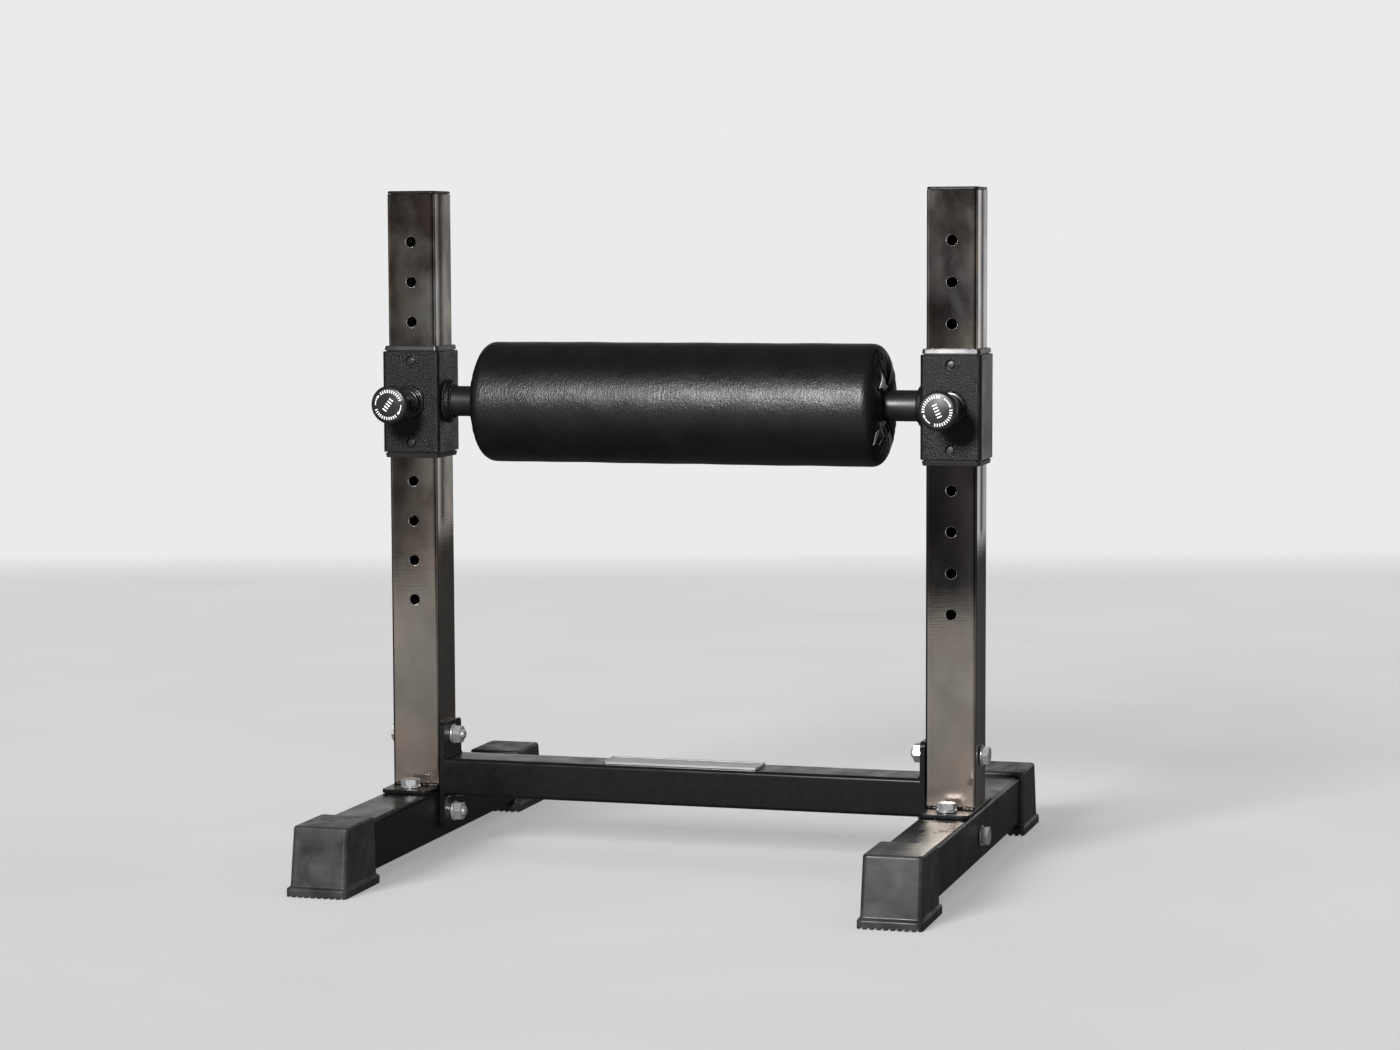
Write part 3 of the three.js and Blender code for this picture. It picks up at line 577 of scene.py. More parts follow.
# A round pipe with broken outer edges
def pipe(inner, outer, low, high, edge, sides):
    outline = [(inner, low), (outer - edge, low), (outer, low + edge), (outer, high - edge)]
    outline += [(outer - edge, high), (inner, high), (inner, low)]
    return turned(outline, sides)


# A tube with broken edges. ring gives its section for a side, a corner and a height.
def tube_of(ring, side, wall, length, corner, edge=broken_edge):
    inner_side = side - 2 * wall
    rings = [
        ring(side - 2 * edge, corner - edge, 0),
        ring(side, corner, edge),
        ring(side, corner, length - edge),
        ring(side - 2 * edge, corner - edge, length),
        ring(inner_side, inner_corner, length),
        ring(inner_side, inner_corner, 0),
    ]
    return lofted(rings, closed=True)


def rounded_plate(width, depth, corner, thickness, edge, steps=3):
    rings = []
    for side, base in ((-1, 0.0), (1, thickness)):
        for cosine, sine in arc(steps)[::-side]:
            inset = edge * (1 - sine)
            height = base - side * edge * (1 - cosine)
            rings.append(rounded_ring(width - 2 * inset, depth - 2 * inset, corner - inset, height))
    return lofted(rings)


def block(low, high):
    shape = bmesh.new()
    bmesh.ops.create_cube(shape, size=1)
    size = Vector(high) - Vector(low)
    middle = (Vector(high) + Vector(low)) / 2
    return moved(shape, Matrix.Translation(middle) @ Matrix.Diagonal((*size, 1)))


def hex_prism(height):
    ring = [(hex_radius * cosine, hex_radius * sine) for cosine, sine in arc(6, math.tau)[:-1]]
    return lofted([[Vector((x, y, z)) for x, y in ring] for z in (0, height)])


def moved(shape, *steps):
    for step in steps:
        matrix = step if isinstance(step, Matrix) else Matrix.Translation(step)
        bmesh.ops.transform(shape, matrix=matrix, verts=shape.verts)
        if matrix.determinant() < 0:
            bmesh.ops.reverse_faces(shape, faces=shape.faces)
    return shape


# A flat sheet made thick: its faces are copied, and the copies are moved by a step
def thickened(sheet, step):
    made = bmesh.ops.extrude_face_region(sheet, geom=list(sheet.faces))
    for part in made["geom"]:
        if isinstance(part, bmesh.types.BMVert):
            part.co += Vector(step)
    bmesh.ops.recalc_face_normals(sheet, faces=sheet.faces)
    return sheet


def turn(axis, quarters):
    return Matrix.Rotation(quarters * quarter_turn, 4, axis)


def joined(*shapes):
    whole = bmesh.new()
    for shape in shapes:
        mesh = bpy.data.meshes.new("joining")
        shape.to_mesh(mesh)
        whole.from_mesh(mesh)
        bpy.data.meshes.remove(mesh)
    return whole


def scratch_object(shape):
    mesh = bpy.data.meshes.new("scratch")
    shape.to_mesh(mesh)
    return linked("scratch", mesh)


def evaluated_shape(obj):
    graph = bpy.context.evaluated_depsgraph_get()
    mesh = bpy.data.meshes.new_from_object(obj.evaluated_get(graph))
    shape = bmesh.new()
    shape.from_mesh(mesh)
    bpy.data.meshes.remove(mesh)
    return shape


def carved(body, tools, operation="DIFFERENCE"):
    work = scratch_object(body)
    others = [scratch_object(tool) for tool in tools]
    for other in others:
        step = work.modifiers.new("carve", "BOOLEAN")
        set_all(step, operation=operation, solver="EXACT", object=other)
    shape = evaluated_shape(work)
    for obj in [work, *others]:
        bpy.data.objects.remove(obj)
    return shape


# A drill along +Z that also breaks the edge of the hole at both faces it passes
def drill(diameter, low, high, rim=hole_rim, sides=round_sides):
    radius, beyond = diameter / 2, 1.0
    wide = radius + (rim + beyond)
    outline = [(0, low - beyond), (wide, low - beyond), (radius, low + rim)]
    outline += [(radius, high - rim), (wide, high + beyond), (0, high + beyond)]
    return turned(outline, sides)


def piece(name, shape, body, material, stands_for=(), sharp=32.0, even=True):
    bmesh.ops.transform(shape, matrix=Matrix.Scale(millimetre, 4), verts=shape.verts)
    mesh = bpy.data.meshes.new(name)
    shape.to_mesh(mesh)
    shape.free()
    mesh.materials.clear()
    mesh.materials.append(material)
    mesh.shade_smooth()
    mesh.set_sharp_from_angle(angle=math.radians(sharp))
    obj = linked(name, mesh)
    if even:
        shading = obj.modifiers.new("even_shading", "WEIGHTED_NORMAL")
        shading.keep_sharp = True
    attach(obj, body)
    if stands_for:
        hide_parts(*stands_for)
    return obj


# Geometry Nodes trees
def new_tree(name, inputs):
    tree = bpy.data.node_groups.new(name, "GeometryNodeTree")
    tree.interface.new_socket("Geometry", in_out="INPUT", socket_type="NodeSocketGeometry")
    for label, kind in inputs.items():
        tree.interface.new_socket(label, in_out="INPUT", socket_type="NodeSocket" + kind)
    tree.interface.new_socket("Geometry", in_out="OUTPUT", socket_type="NodeSocketGeometry")
    return tree, tree.nodes.new("NodeGroupInput").outputs, tree.nodes.new("NodeGroupOutput").inputs


# Sets the instances on their points and makes one painted mesh of them
def finish_tree(tree, given, result, instances, smooth):
    placed = new_node(tree, "GeometryNodeInstanceOnPoints", instances).outputs["Instances"]
    real = new_node(tree, "GeometryNodeRealizeInstances", {"Geometry": placed}).outputs["Geometry"]
    shading = {"Geometry": real, "Shade Smooth": smooth}
    shaded = new_node(tree, "GeometryNodeSetShadeSmooth", shading).outputs["Geometry"]
    paint = {"Geometry": shaded, "Material": given["Material"]}
    painted = new_node(tree, "GeometryNodeSetMaterial", paint).outputs["Geometry"]
    tree.links.new(painted, result["Geometry"])
    return tree


# Round lumps set along a path: weld ripples and stitches
def lumps_tree():
    inputs = {"Spacing": "Float", "Size": "Vector", "Jitter": "Float", "Seed": "Int", "Material": "Material"}
    tree, given, result = new_tree("lumps_along_path", inputs)
    path = new_node(tree, "GeometryNodeMeshToCurve", {"Mesh": given["Geometry"]}).outputs["Curve"]
    spacing = {"Curve": path, "Length": given["Spacing"]}
    points = new_node(tree, "GeometryNodeCurveToPoints", spacing, mode="LENGTH").outputs
    ball = new_node(tree, "GeometryNodeMeshUVSphere", {"Segments": 12, "Rings": 8, "Radius": 0.5})
    shaping = {"Geometry": ball.outputs["Mesh"], "Scale": given["Size"]}
    lump = new_node(tree, "GeometryNodeTransform", shaping).outputs["Geometry"]
    growth = new_node(tree, "FunctionNodeRandomValue", {"Seed": given["Seed"]}, data_type="FLOAT_VECTOR")
    tree.links.new(reckon(tree, "SUBTRACT", 1.0, given["Jitter"]), growth.inputs["Min"])
    tree.links.new(reckon(tree, "ADD", 1.0, given["Jitter"]), growth.inputs["Max"])
    instances = {"Points": points["Points"], "Instance": lump, "Rotation": points["Rotation"]}
    instances["Scale"] = growth.outputs["Value"]
    return finish_tree(tree, given, result, instances, smooth=True)


# Bars side by side along X: the grooves of a boot's sole
def bars_tree():
    inputs = {"Count": "Int", "Pitch": "Float", "Size": "Vector", "Material": "Material"}
    tree, given, result = new_tree("bars_in_a_row", inputs)
    gaps = reckon(tree, "SUBTRACT", given["Count"], 1.0)
    start = reckon(tree, "MULTIPLY", reckon(tree, "MULTIPLY", gaps, given["Pitch"]), -0.5)
    first = new_node(tree, "ShaderNodeCombineXYZ", {"X": start}).outputs[0]
    step = new_node(tree, "ShaderNodeCombineXYZ", {"X": given["Pitch"]}).outputs[0]
    line = {"Count": given["Count"], "Start Location": first, "Offset": step}
    row = new_node(tree, "GeometryNodeMeshLine", line).outputs["Mesh"]
    bar = new_node(tree, "GeometryNodeMeshCube", {"Size": given["Size"]}).outputs["Mesh"]
    return finish_tree(tree, given, result, {"Points": row, "Instance": bar}, smooth=False)


# Bars round a dial in the XZ plane, clockwise from the top as seen from -Y
def dial_tree():
    inputs = {"Count": "Int", "Radius": "Float", "Start": "Float", "Step": "Float", "Size": "Vector"}
    tree, given, result = new_tree("marks_round_dial", {**inputs, "Material": "Material"})
    index = new_node(tree, "GeometryNodeInputIndex").outputs[0]
    angle = reckon(tree, "ADD", reckon(tree, "MULTIPLY", index, given["Step"]), given["Start"])
    across = reckon(tree, "MULTIPLY", reckon(tree, "SINE", angle), given["Radius"])
    upward = reckon(tree, "MULTIPLY", reckon(tree, "COSINE", angle), given["Radius"])
    spot = new_node(tree, "ShaderNodeCombineXYZ", {"X": across, "Z": upward}).outputs[0]
    points = new_node(tree, "GeometryNodePoints", {"Count": given["Count"], "Position": spot}).outputs[0]
    bar = new_node(tree, "GeometryNodeMeshCube", {"Size": given["Size"]}).outputs["Mesh"]
    lean = new_node(tree, "ShaderNodeCombineXYZ", {"Y": angle}).outputs[0]
    instances = {"Points": points, "Instance": bar, "Rotation": lean}
    return finish_tree(tree, given, result, instances, smooth=False)


def grown(tree, settings, paths=()):
    mesh = bpy.data.meshes.new("paths")
    points = [point for path in paths for point in path]
    edges = []
    first = 0
    for path in paths:
        edges += [(first + i, first + i + 1) for i in range(len(path) - 1)]
        first += len(path)
    mesh.from_pydata(points, edges, [])
    obj = linked("paths", mesh)
    step = obj.modifiers.new("grow", "NODES")
    step.node_group = tree
    sockets = [item for item in tree.interface.items_tree if item.item_type == "SOCKET"]
    names = {item.name: item.identifier for item in sockets if item.in_out == "INPUT"}
    for label, value in settings.items():
        step[names[label]] = value
    shape = evaluated_shape(obj)
    bpy.data.objects.remove(obj)
    return shape


def lump_rows(rows, spacing, size, jitter, seed, material):
    settings = {"Spacing": spacing, "Size": size, "Jitter": jitter, "Seed": seed, "Material": material}
    return grown(lumps, settings, rows)


# A closed circle of points that faces along X or Y
def circle(centre, radius, axis):
    points = []
    for cosine, sine in arc(medium_sides, math.tau):
        first, second = radius * cosine, radius * sine
        points.append(Vector(centre) + Vector((0, first, second) if axis == "X" else (first, 0, second)))
    return points


# Base: uprights, tubes, boots, caps
def foot_plate():
    thickness = foot_plate_top - foot_plate_height
    plate = rounded_plate(tube_side, foot_plate_length, foot_plate_corner, thickness, foot_plate_edge)
    drills = [moved(drill(bolt_hole, 0, thickness), (0, y, 0)) for y in (-foot_bolt_y, foot_bolt_y)]
    return carved(plate, drills)


def upright_tube():
    beyond = 0.02
    dimple = [(0, dimple_depth), (adjust_hole / 2, dimple_depth), (dimple_radius, -beyond), (0, -beyond)]
    dimple = turned(dimple, medium_sides)
    tube = tube_of(rolled_ring, tube_side, tube_wall, upright_top - foot_plate_top, upright_corner)
    tube = moved(tube, (0, 0, foot_plate_top - foot_plate_height))
    drills = []
    for i in range(adjust_count):
        height = top_hole_height - foot_plate_height - i * adjust_pitch
        for tool in (drill(adjust_hole, 0, tube_wall, adjust_rim), dimple):
            drills.append(moved(tool.copy(), turn("X", -1), (0, -tube_side / 2, height)))
    side = drill(bolt_hole, -tube_side / 2, tube_side / 2)
    drills.append(moved(side, turn("Y", 1), (0, 0, cross_bolt_heights["upper"] - foot_plate_height)))
    return carved(tube, drills)


def add_uprights():
    weld_y, weld_height, weld_steps = tube_side / 2 + 1.0, foot_plate_top + 0.9, 11
    reach = range(-weld_steps, weld_steps + 1)
    for side, x in uprights_x.items():
        foot = (x, 0, foot_plate_height)
        tube = moved(upright_tube(), foot)
        piece(side + "_upright_tube", tube, "stand", chrome, [side + "_upright"])
        piece(side + "_foot_plate", moved(foot_plate(), foot), "stand", satin_coat)
        rows = [[(x + step * bead_step, y, weld_height) for step in reach] for y in (-weld_y, weld_y)]
        bead = lump_rows(rows, spacing=2.0, size=(5.4, 4.6, 3.6), jitter=0.26, seed=3, material=weld_steel)
        piece(side + "_upright_weld", bead, "stand", weld_steel, even=False)


def upright_cap():
    top, edge = 2.6, 1.4
    skirt_wall, skirt_length, skirt_depth, skirt_corner, skirt_edge = 2, 16, 15, 1.7, 0.3
    rings = [square_ring(tube_side, tube_corner, 0)]
    for cosine, sine in arc(5):
        inset = edge * (1 - cosine)
        rings.append(square_ring(tube_side - 2 * inset, tube_corner - inset, top - edge + edge * sine))
    skirt_side = tube_side - 2 * tube_wall - 2 * play
    skirt = tube_of(square_ring, skirt_side, skirt_wall, skirt_length, skirt_corner, skirt_edge)
    return joined(lofted(rings), moved(skirt, (0, 0, -skirt_depth)))


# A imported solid's own mesh, with its flat faces made whole
def cleaned_copy(node):
    merge_distance, flat_angle = 0.002, math.radians(1)
    shape = bmesh.new()
    shape.from_mesh(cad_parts[node].data)
    bmesh.ops.transform(shape, matrix=Matrix.Scale(1 / millimetre, 4), verts=shape.verts)
    bmesh.ops.remove_doubles(shape, verts=shape.verts, dist=merge_distance)
    bmesh.ops.dissolve_limit(shape, angle_limit=flat_angle, verts=shape.verts, edges=shape.edges)
    return shape


def add_base_tubes():
    for side in uprights_x:
        node = side + "_base_tube"
        piece(node + "_shell", cleaned_copy(node), "stand", satin_coat, [node])


# A boot with its nose towards -Y and the end of its tube at the origin
def boot():
    nose, heel = 23.5, 68.5
    width, depth, corner = 61.0, nose + heel, 6.0
    middle = (heel - nose) / 2
    foot, flange_top, shoulder, top = 4.5, 9.0, 63.3, 65.3
    foot_width, foot_depth, taper, lean = 57, 82, 12, 3.5
    edge, edge_corner, edge_corner_share = 2.6, 4.8, 0.9
    flange = [(0.3, 0.3, 0), (0, 0, 0.3), (0, 0, 6.9), (0.25, 0.125, 7.6), (0.8, 0.4, 8.3), (1.9, 0.95, 8.9)]
    rings = []
    for inset, tighter, height in flange + [(2.6, 1.3, flange_top)]:
        ring = rounded_ring(width - 2 * inset, depth - 2 * inset, corner - tighter, height, (0, middle))
        rings.append(ring)

    def section(height, inset, corner):
        share = (height - foot) / (shoulder - foot)
        section_width = foot_width - share - 2 * inset
        section_depth = foot_depth - taper * share - 2 * inset
        return rounded_ring(section_width, section_depth, corner, height, (0, middle + lean * share))

    ledge = ((-0.9, flange_top), (-0.35, 9.35), (-0.08, 9.9), (0.0, 10.6), (0.0, base_tube_height))
    for inset, height in ledge:
        rings.append(section(height, inset, 4.5))
    for cosine, sine in arc(6):
        inset = edge * (1 - cosine)
        rings.append(section(top - edge + edge * sine, inset, edge_corner - inset * edge_corner_share))
    socket_side, socket_depth = tube_side + 2 * play, heel + 3
    socket = lofted([square_ring(socket_side, tube_corner + play, depth) for depth in (0, socket_depth)])
    socket = moved(socket, turn("X", -1), (0, -play, base_tube_height))
    bars = grown(bars_row, {"Count": 9, "Pitch": 6.42, "Size": (3.3, 110, 3.6), "Material": rubber})
    return carved(lofted(rings), [socket, moved(bars, (0, middle, 0))])


def add_boots():
    for side, x in uprights_x.items():
        for end, y, quarters in (("front", -base_tube_end, 0), ("rear", base_tube_end, 2)):
            node = f"{side}_{end}_boot"
            place = Matrix.Translation((x, y, 0)) @ turn("Z", quarters)
            piece(node + "_rubber", moved(boot(), place), "stand", rubber, [node])


def add_caps():
    for side, x in uprights_x.items():
        node = side + "_upright_cap"
        shape = moved(upright_cap(), (x, 0, upright_top + play))
        piece(node + "_plug", shape, "stand", cap_plastic, [node])


def add_crossmember():
    shell = cleaned_copy("crossmember")
    piece("crossmember_shell", shell, "stand", satin_coat, ["crossmember"])
    weld_x, weld_rise, weld_steps = crossmember_end - end_plate - 0.9, 19.7, 10
    rows = []
    for x in (-weld_x, weld_x):
        for z in (crossmember_height - weld_rise, crossmember_height + weld_rise):
            rows.append([(x, step * bead_step, z) for step in range(-weld_steps, weld_steps + 1)])
    bead = lump_rows(rows, spacing=1.9, size=(3.6, 3.4, 3.2), jitter=0.15, seed=8, material=satin_coat)
    piece("crossmember_weld", bead, "stand", satin_coat, even=False)


# The plate is blank, with a raised rim
def add_nameplate():
    length, depth, corner, least_corner = 160, 34, 3, 0.8
    rings = []
    for inset, height in ((0.2, 0), (0, 0.2), (0, 2.4), (0.3, 2.7), (1.4, 2.7), (1.7, 2.4), (1.9, 2.0)):
        ring_corner = max(least_corner, corner - inset)
        rings.append(rounded_ring(length - 2 * inset, depth - 2 * inset, ring_corner, height))
    shape = moved(lofted(rings), (0, 0, nameplate_height))
    piece("nameplate_blank", shape, "stand", plate_metal, ["nameplate"])


# Fasteners
def threaded(low, high):
    outline = []
    height = low
    while height < high:
        outline.append((bolt_radius - thread_depth, height))
        outline.append((bolt_radius, min(high, height + thread_pitch / 2)))
        height += thread_pitch
    return outline


# A hexagon whose corners are rounded off by a turned limit
def hexagon(height, limit):
    return carved(hex_prism(height), [turned([(0, 0), *limit, (0, height)])], "INTERSECT")


def hex_bolt(length, thread_length):
    flat, lead_in, tip_radius, root = hex_flats / 2, 0.6, bolt_radius - 1.2, head_height / 2
    limit = [(flat - 0.4, 0), (flat - 0.2, 0.5), (hex_radius, 1.1), (hex_radius, head_height - 0.9)]
    limit += [(flat - 0.5, head_height - 0.1), (flat - 1.0, head_height)]
    outline = [(0, -length), (tip_radius, -length), *threaded(lead_in - length, thread_length - length)]
    outline += [(bolt_radius, thread_length - length + lead_in), (bolt_radius, root), (0, root)]
    return joined(hexagon(head_height, limit), turned(outline, small_sides))


def washer():
    return pipe(bolt_hole / 2, washer_radius, 0, washer_thickness, edge=0.25, sides=medium_sides)


def acorn_nut():
    flat, hex_height, dome_radius, height, bore_depth = hex_flats / 2, 8.0, 8.0, 18.0, 13
    limit = [(flat - 0.2, 0), (hex_radius, 1.0), (hex_radius, hex_height - 1.0), (flat - 0.3, hex_height)]
    outline = [(0, hex_height / 2), (dome_radius, hex_height / 2)]
    for cosine, sine in arc(14)[:-1]:
        outline.append((dome_radius * cosine, height - dome_radius + dome_radius * sine))
    outline.append((0, height))
    bore = turned([(0, -1), (bolt_hole / 2, -1), (bolt_hole / 2, bore_depth), (0, bore_depth)], small_sides)
    return carved(joined(hexagon(hex_height, limit), turned(outline)), [bore])


def add_foot_bolts():
    seat = foot_plate_top + play
    length, thread_length = 20, 18
    for side, x in uprights_x.items():
        for end, y, spin in (("front", -foot_bolt_y, 0.35), ("rear", foot_bolt_y, 0.8)):
            node = f"{side}_{end}_foot_washer"
            piece(node + "_ring", moved(washer(), (x, y, seat)), "stand", zinc, [node])
            node = f"{side}_{end}_foot_bolt"
            place = Matrix.Translation((x, y, seat + washer_thickness + play)) @ Matrix.Rotation(spin, 4, "Z")
            bolt = moved(hex_bolt(length, thread_length), place)
            piece(node + "_steel", bolt, "stand", zinc, [node])


def add_cross_fasteners():
    outer_face = tube_side / 2 + play
    head_seat = outer_face + washer_thickness + play
    inner_face = outer_face + end_plate + play
    nut_seat = inner_face + washer_thickness + play
    thread_in_nut, thread_length, spin = 11, 26, 0.4
    length = head_seat + nut_seat + thread_in_nut
    for side, x in uprights_x.items():
        sign = 1 if x > 0 else -1
        for level, z in cross_bolt_heights.items():
            rows = (
                ("cross_bolt", hex_bolt(length, thread_length), head_seat, 1),
                ("head_washer", washer(), outer_face, 1),
                ("nut_washer", washer(), inner_face, -1),
                ("acorn_nut", acorn_nut(), nut_seat, -1),
            )
            for kind, shape, along, outward in rows:
                node = f"{side}_{level}_{kind}"
                facing = turn("Y", sign * outward) @ Matrix.Rotation(spin, 4, "Z")
                place = Matrix.Translation((x + sign * outward * along, 0, z)) @ facing
                piece(node + "_steel", moved(shape, place), "stand", zinc, [node])


# Carriage: sleeves, liners, axle
def sleeve(inward):
    edge, bore, nub_hole, nub_height = 0.5, 15.5, 9.6, 41
    tube = tube_of(square_ring, sleeve_side, sleeve_wall, sleeve_height, tube_corner, edge)
    tube = moved(tube, (0, 0, -sleeve_height / 2))
    tools = []
    for diameter, rim, z in ((bolt_hole, 0.3, 0), (nub_hole, 0.5, -nub_height), (nub_hole, 0.5, nub_height)):
        tools.append(moved(drill(diameter, 0, sleeve_wall, rim), turn("X", -1), (0, -sleeve_face, z)))
    collar = [(bore, -1.5), (20, -1.5), (21.6, 0.0), (20.7, 0.5), (20.2, 1.2), (20, 2.2), (20, 4.6)]
    collar += [(19.6, 5.5), (18.6, 6.0), (bore, 6.0), (bore, -1.5)]
    collar = moved(turned(collar, fine_sides), turn("Y", inward), (inward * sleeve_face, 0, 0))
    return joined(carved(tube, tools), collar)


def liner():
    side, top, edge, slant, lean = 57.6, 5.6, 0.7, 0.8, math.radians(14)
    skirt_side, nub_drop = 53.4, 9.5
    rings = []
    for inset, height in ((1.5, 0.3), (1.5, 1.1), (0.3, 1.2), (0, 1.5)):
        rings.append(square_ring(side - 2 * inset, tube_corner - inset / 2, height))
    for cosine, sine in arc(5, math.radians(76), lean):
        inset = slant + edge * (math.cos(lean) - cosine)
        rings.append(square_ring(side - 2 * inset, tube_corner - inset, top - edge + edge * sine))
    skirt = lofted([square_ring(skirt_side, inner_corner, z) for z in (-18, 2.8)])
    bore = lofted([square_ring(tube_side + 2 * play, tube_corner, z) for z in (-22, 10)])
    body = carved(carved(lofted(rings), [skirt], "UNION"), [bore])
    nub = turned([(0, 25.9), (3.6, 25.9), (3.6, 28.6), (3.3, 29.0), (2.6, 29.2), (0, 29.2)], small_sides)
    return joined(body, moved(nub, turn("X", 1), (0, 0, -nub_drop)))


# The weld beads round a collar are given by their distance from the sleeve's face and their radius
def add_sleeves():
    beads = ((0.7, 20.6), (6.3, 16.0))
    for side, x in uprights_x.items():
        inward = -1 if x > 0 else 1
        body = moved(sleeve(inward), (x, 0, carriage_height))
        piece(side + "_sleeve_body", body, "carriage", textured_coat, [side + "_sleeve"])
        for level, sign in (("upper", 1), ("lower", -1)):
            node = f"{side}_{level}_liner"
            shape = moved(liner(), turn("Y", 1 - sign), (x, 0, carriage_height + sign * sleeve_height / 2))
            piece(node + "_ring", shape, "carriage", liner_plastic, [node])
        rows = []
        for out, radius in beads:
            rows.append(circle((x + inward * (sleeve_face + out), 0, carriage_height), radius, "X"))
        bead = lump_rows(rows, spacing=2.1, size=(2.6, 2.6, 3.0), jitter=0.18, seed=5, material=satin_black)
        piece(side + "_collar_weld", bead, "carriage", satin_black, even=False)


# Lays a shape turned about Z along the axle
def on_axle(shape):
    return moved(shape, turn("Y", 1), (0, 0, carriage_height))


def add_axle():
    inner, outer, end = 12.7, 15.2, 245.7
    shape = on_axle(pipe(inner, outer, -end, end, edge=0.5, sides=fine_sides))
    piece("axle_tube", shape, "carriage", axle_coat, ["axle"])


# Pull pins. Depths are measured from the sleeve's face and grow towards -Y.
barrel_foot = 0.3
barrel_ring_end = 15.3
guide_end = 34.3
guide_floor = 2.3
guide_crimp = 32.3
guide_bore = 5.9
guide_mouth = 3.3
pin_tip = -4.7
shoulder_start = 20.6
shoulder_end = 22.6
spring_start = 26.0
spring_end = 32.0
knob_mouth = 33.6
knob_bore_end = 52.6
knob_bore = 8.1
pin_head_start = 55.9
pin_end = 58.3
knob_face = 61.6
knob_radius = 19.0
face_radius = 15.0
face_crown = 1.2
mark_radius = 13.4
knob_leans = {"left": -0.95, "right": 1.15}


def on_pin(shape, x):
    return moved(shape, turn("X", 1), (x, -sleeve_face, carriage_height))


def barrel():
    outline = [(5.3, barrel_foot), (15.5, barrel_foot), (15.5, 4.2), (15.2, 4.9), (14.5, 5.3), (12.6, 5.3)]
    outline += [(12.1, 5.6), (12.0, 6.2), (12.0, 8.2), (12.3, 8.8), (12.8, 8.9), (13.3, 9.3), (13.5, 9.9)]
    outline += [(13.5, 14.2), (13.2, 15.0), (12.5, barrel_ring_end), (8.3, barrel_ring_end), (7.8, 15.8)]
    outline += [(7.8, 33.8), (7.3, guide_end), (guide_mouth, guide_end), (guide_mouth, guide_crimp)]
    outline += [(guide_bore, guide_crimp), (guide_bore, guide_floor), (5.3, guide_floor), (5.3, barrel_foot)]
    return turned(outline, fine_sides)


def pull_pin():
    outline = [(0, pin_tip), (3.4, pin_tip), (4.3, pin_tip + 0.5), (5, pin_tip + 1.5), (5, shoulder_start)]
    outline += [(5.4, shoulder_start), (5.6, shoulder_start + 0.2), (5.6, 22.4), (5.4, shoulder_end)]
    outline += [(3, shoulder_end), (3, pin_head_start), (4.3, pin_head_start), (4.5, pin_head_start + 0.2)]
    outline += [(4.5, pin_end - 0.4), (4.1, pin_end), (0, pin_end)]
    return turned(outline, small_sides)


def spring():
    coil_radius, wire_radius, turns = 4.5, 0.5, 4
    sides, steps = 12, 40
    start = spring_start + wire_radius
    rise = spring_end - spring_start - 2 * wire_radius
    up = Vector((0, 0, 1))
    rings = []
    for i in range(turns * steps + 1):
        share = i / (turns * steps)
        angle = math.tau * turns * share
        out = Vector((math.cos(angle), math.sin(angle), 0))
        centre = out * coil_radius + Vector((0, 0, start + rise * share))
        round_wire = arc(sides, math.tau)[:-1]
        rings.append([centre + wire_radius * (cosine * out + sine * up) for cosine, sine in round_wire])
    shape = lofted(rings)
    bmesh.ops.recalc_face_normals(shape, faces=shape.faces)
    return shape


# How far out a knob's crowned face is at a radius
def dome_depth(radius):
    return knob_face - face_crown * min(1.0, radius / face_radius) ** 2


def knob():
    rim = knob_radius - face_radius
    outline = [(knob_bore, knob_mouth), (9.1, knob_mouth), (9.5, knob_mouth + 0.4)]
    outline += [(9.5, 46.0), (9.8, 47.3), (10.8, 48.4), (12.6, 49.5), (15.2, 50.8), (17.4, 51.9)]
    outline += [(18.5, 52.7), (18.95, 53.6), (knob_radius, 54.6)]
    rim_centre = knob_face - face_crown - rim
    outline += [(face_radius + rim * cosine, rim_centre + rim * sine) for cosine, sine in arc(10)]
    outline += [(radius, dome_depth(radius)) for radius in (13.5, 12.0, 10.0, 8.0, 6.0, 4.0, 2.0)]
    outline += [(0, knob_face), (0, 58.6), (4.8, 58.6), (4.8, 55.6), (3.3, 55.6), (3.3, knob_bore_end)]
    outline += [(knob_bore, knob_bore_end), (knob_bore, knob_mouth)]
    return turned(outline, fine_sides)


# A flat turn arrow in the XZ plane
def arrow(start):
    width, sweep, steps, head_width, head_sweep = 0.9, 0.6, 18, 1.35, 0.22
    shape = bmesh.new()
    rows = []
    for i in range(steps + 1):
        angle = start + sweep * i / steps
        radii = (mark_radius - width / 2, mark_radius + width / 2)
        rows.append([shape.verts.new((r * math.sin(angle), 0, r * math.cos(angle))) for r in radii])
    for low, high in zip(rows, rows[1:]):
        shape.faces.new((low[0], low[1], high[1], high[0]))
    foot = start + sweep
    inner, outer = mark_radius - head_width, mark_radius + head_width
    head = [(inner, foot), (outer, foot), (mark_radius, foot + head_sweep)]
    shape.faces.new([shape.verts.new((r * math.sin(a), 0, r * math.cos(a))) for r, a in head])
    return shape


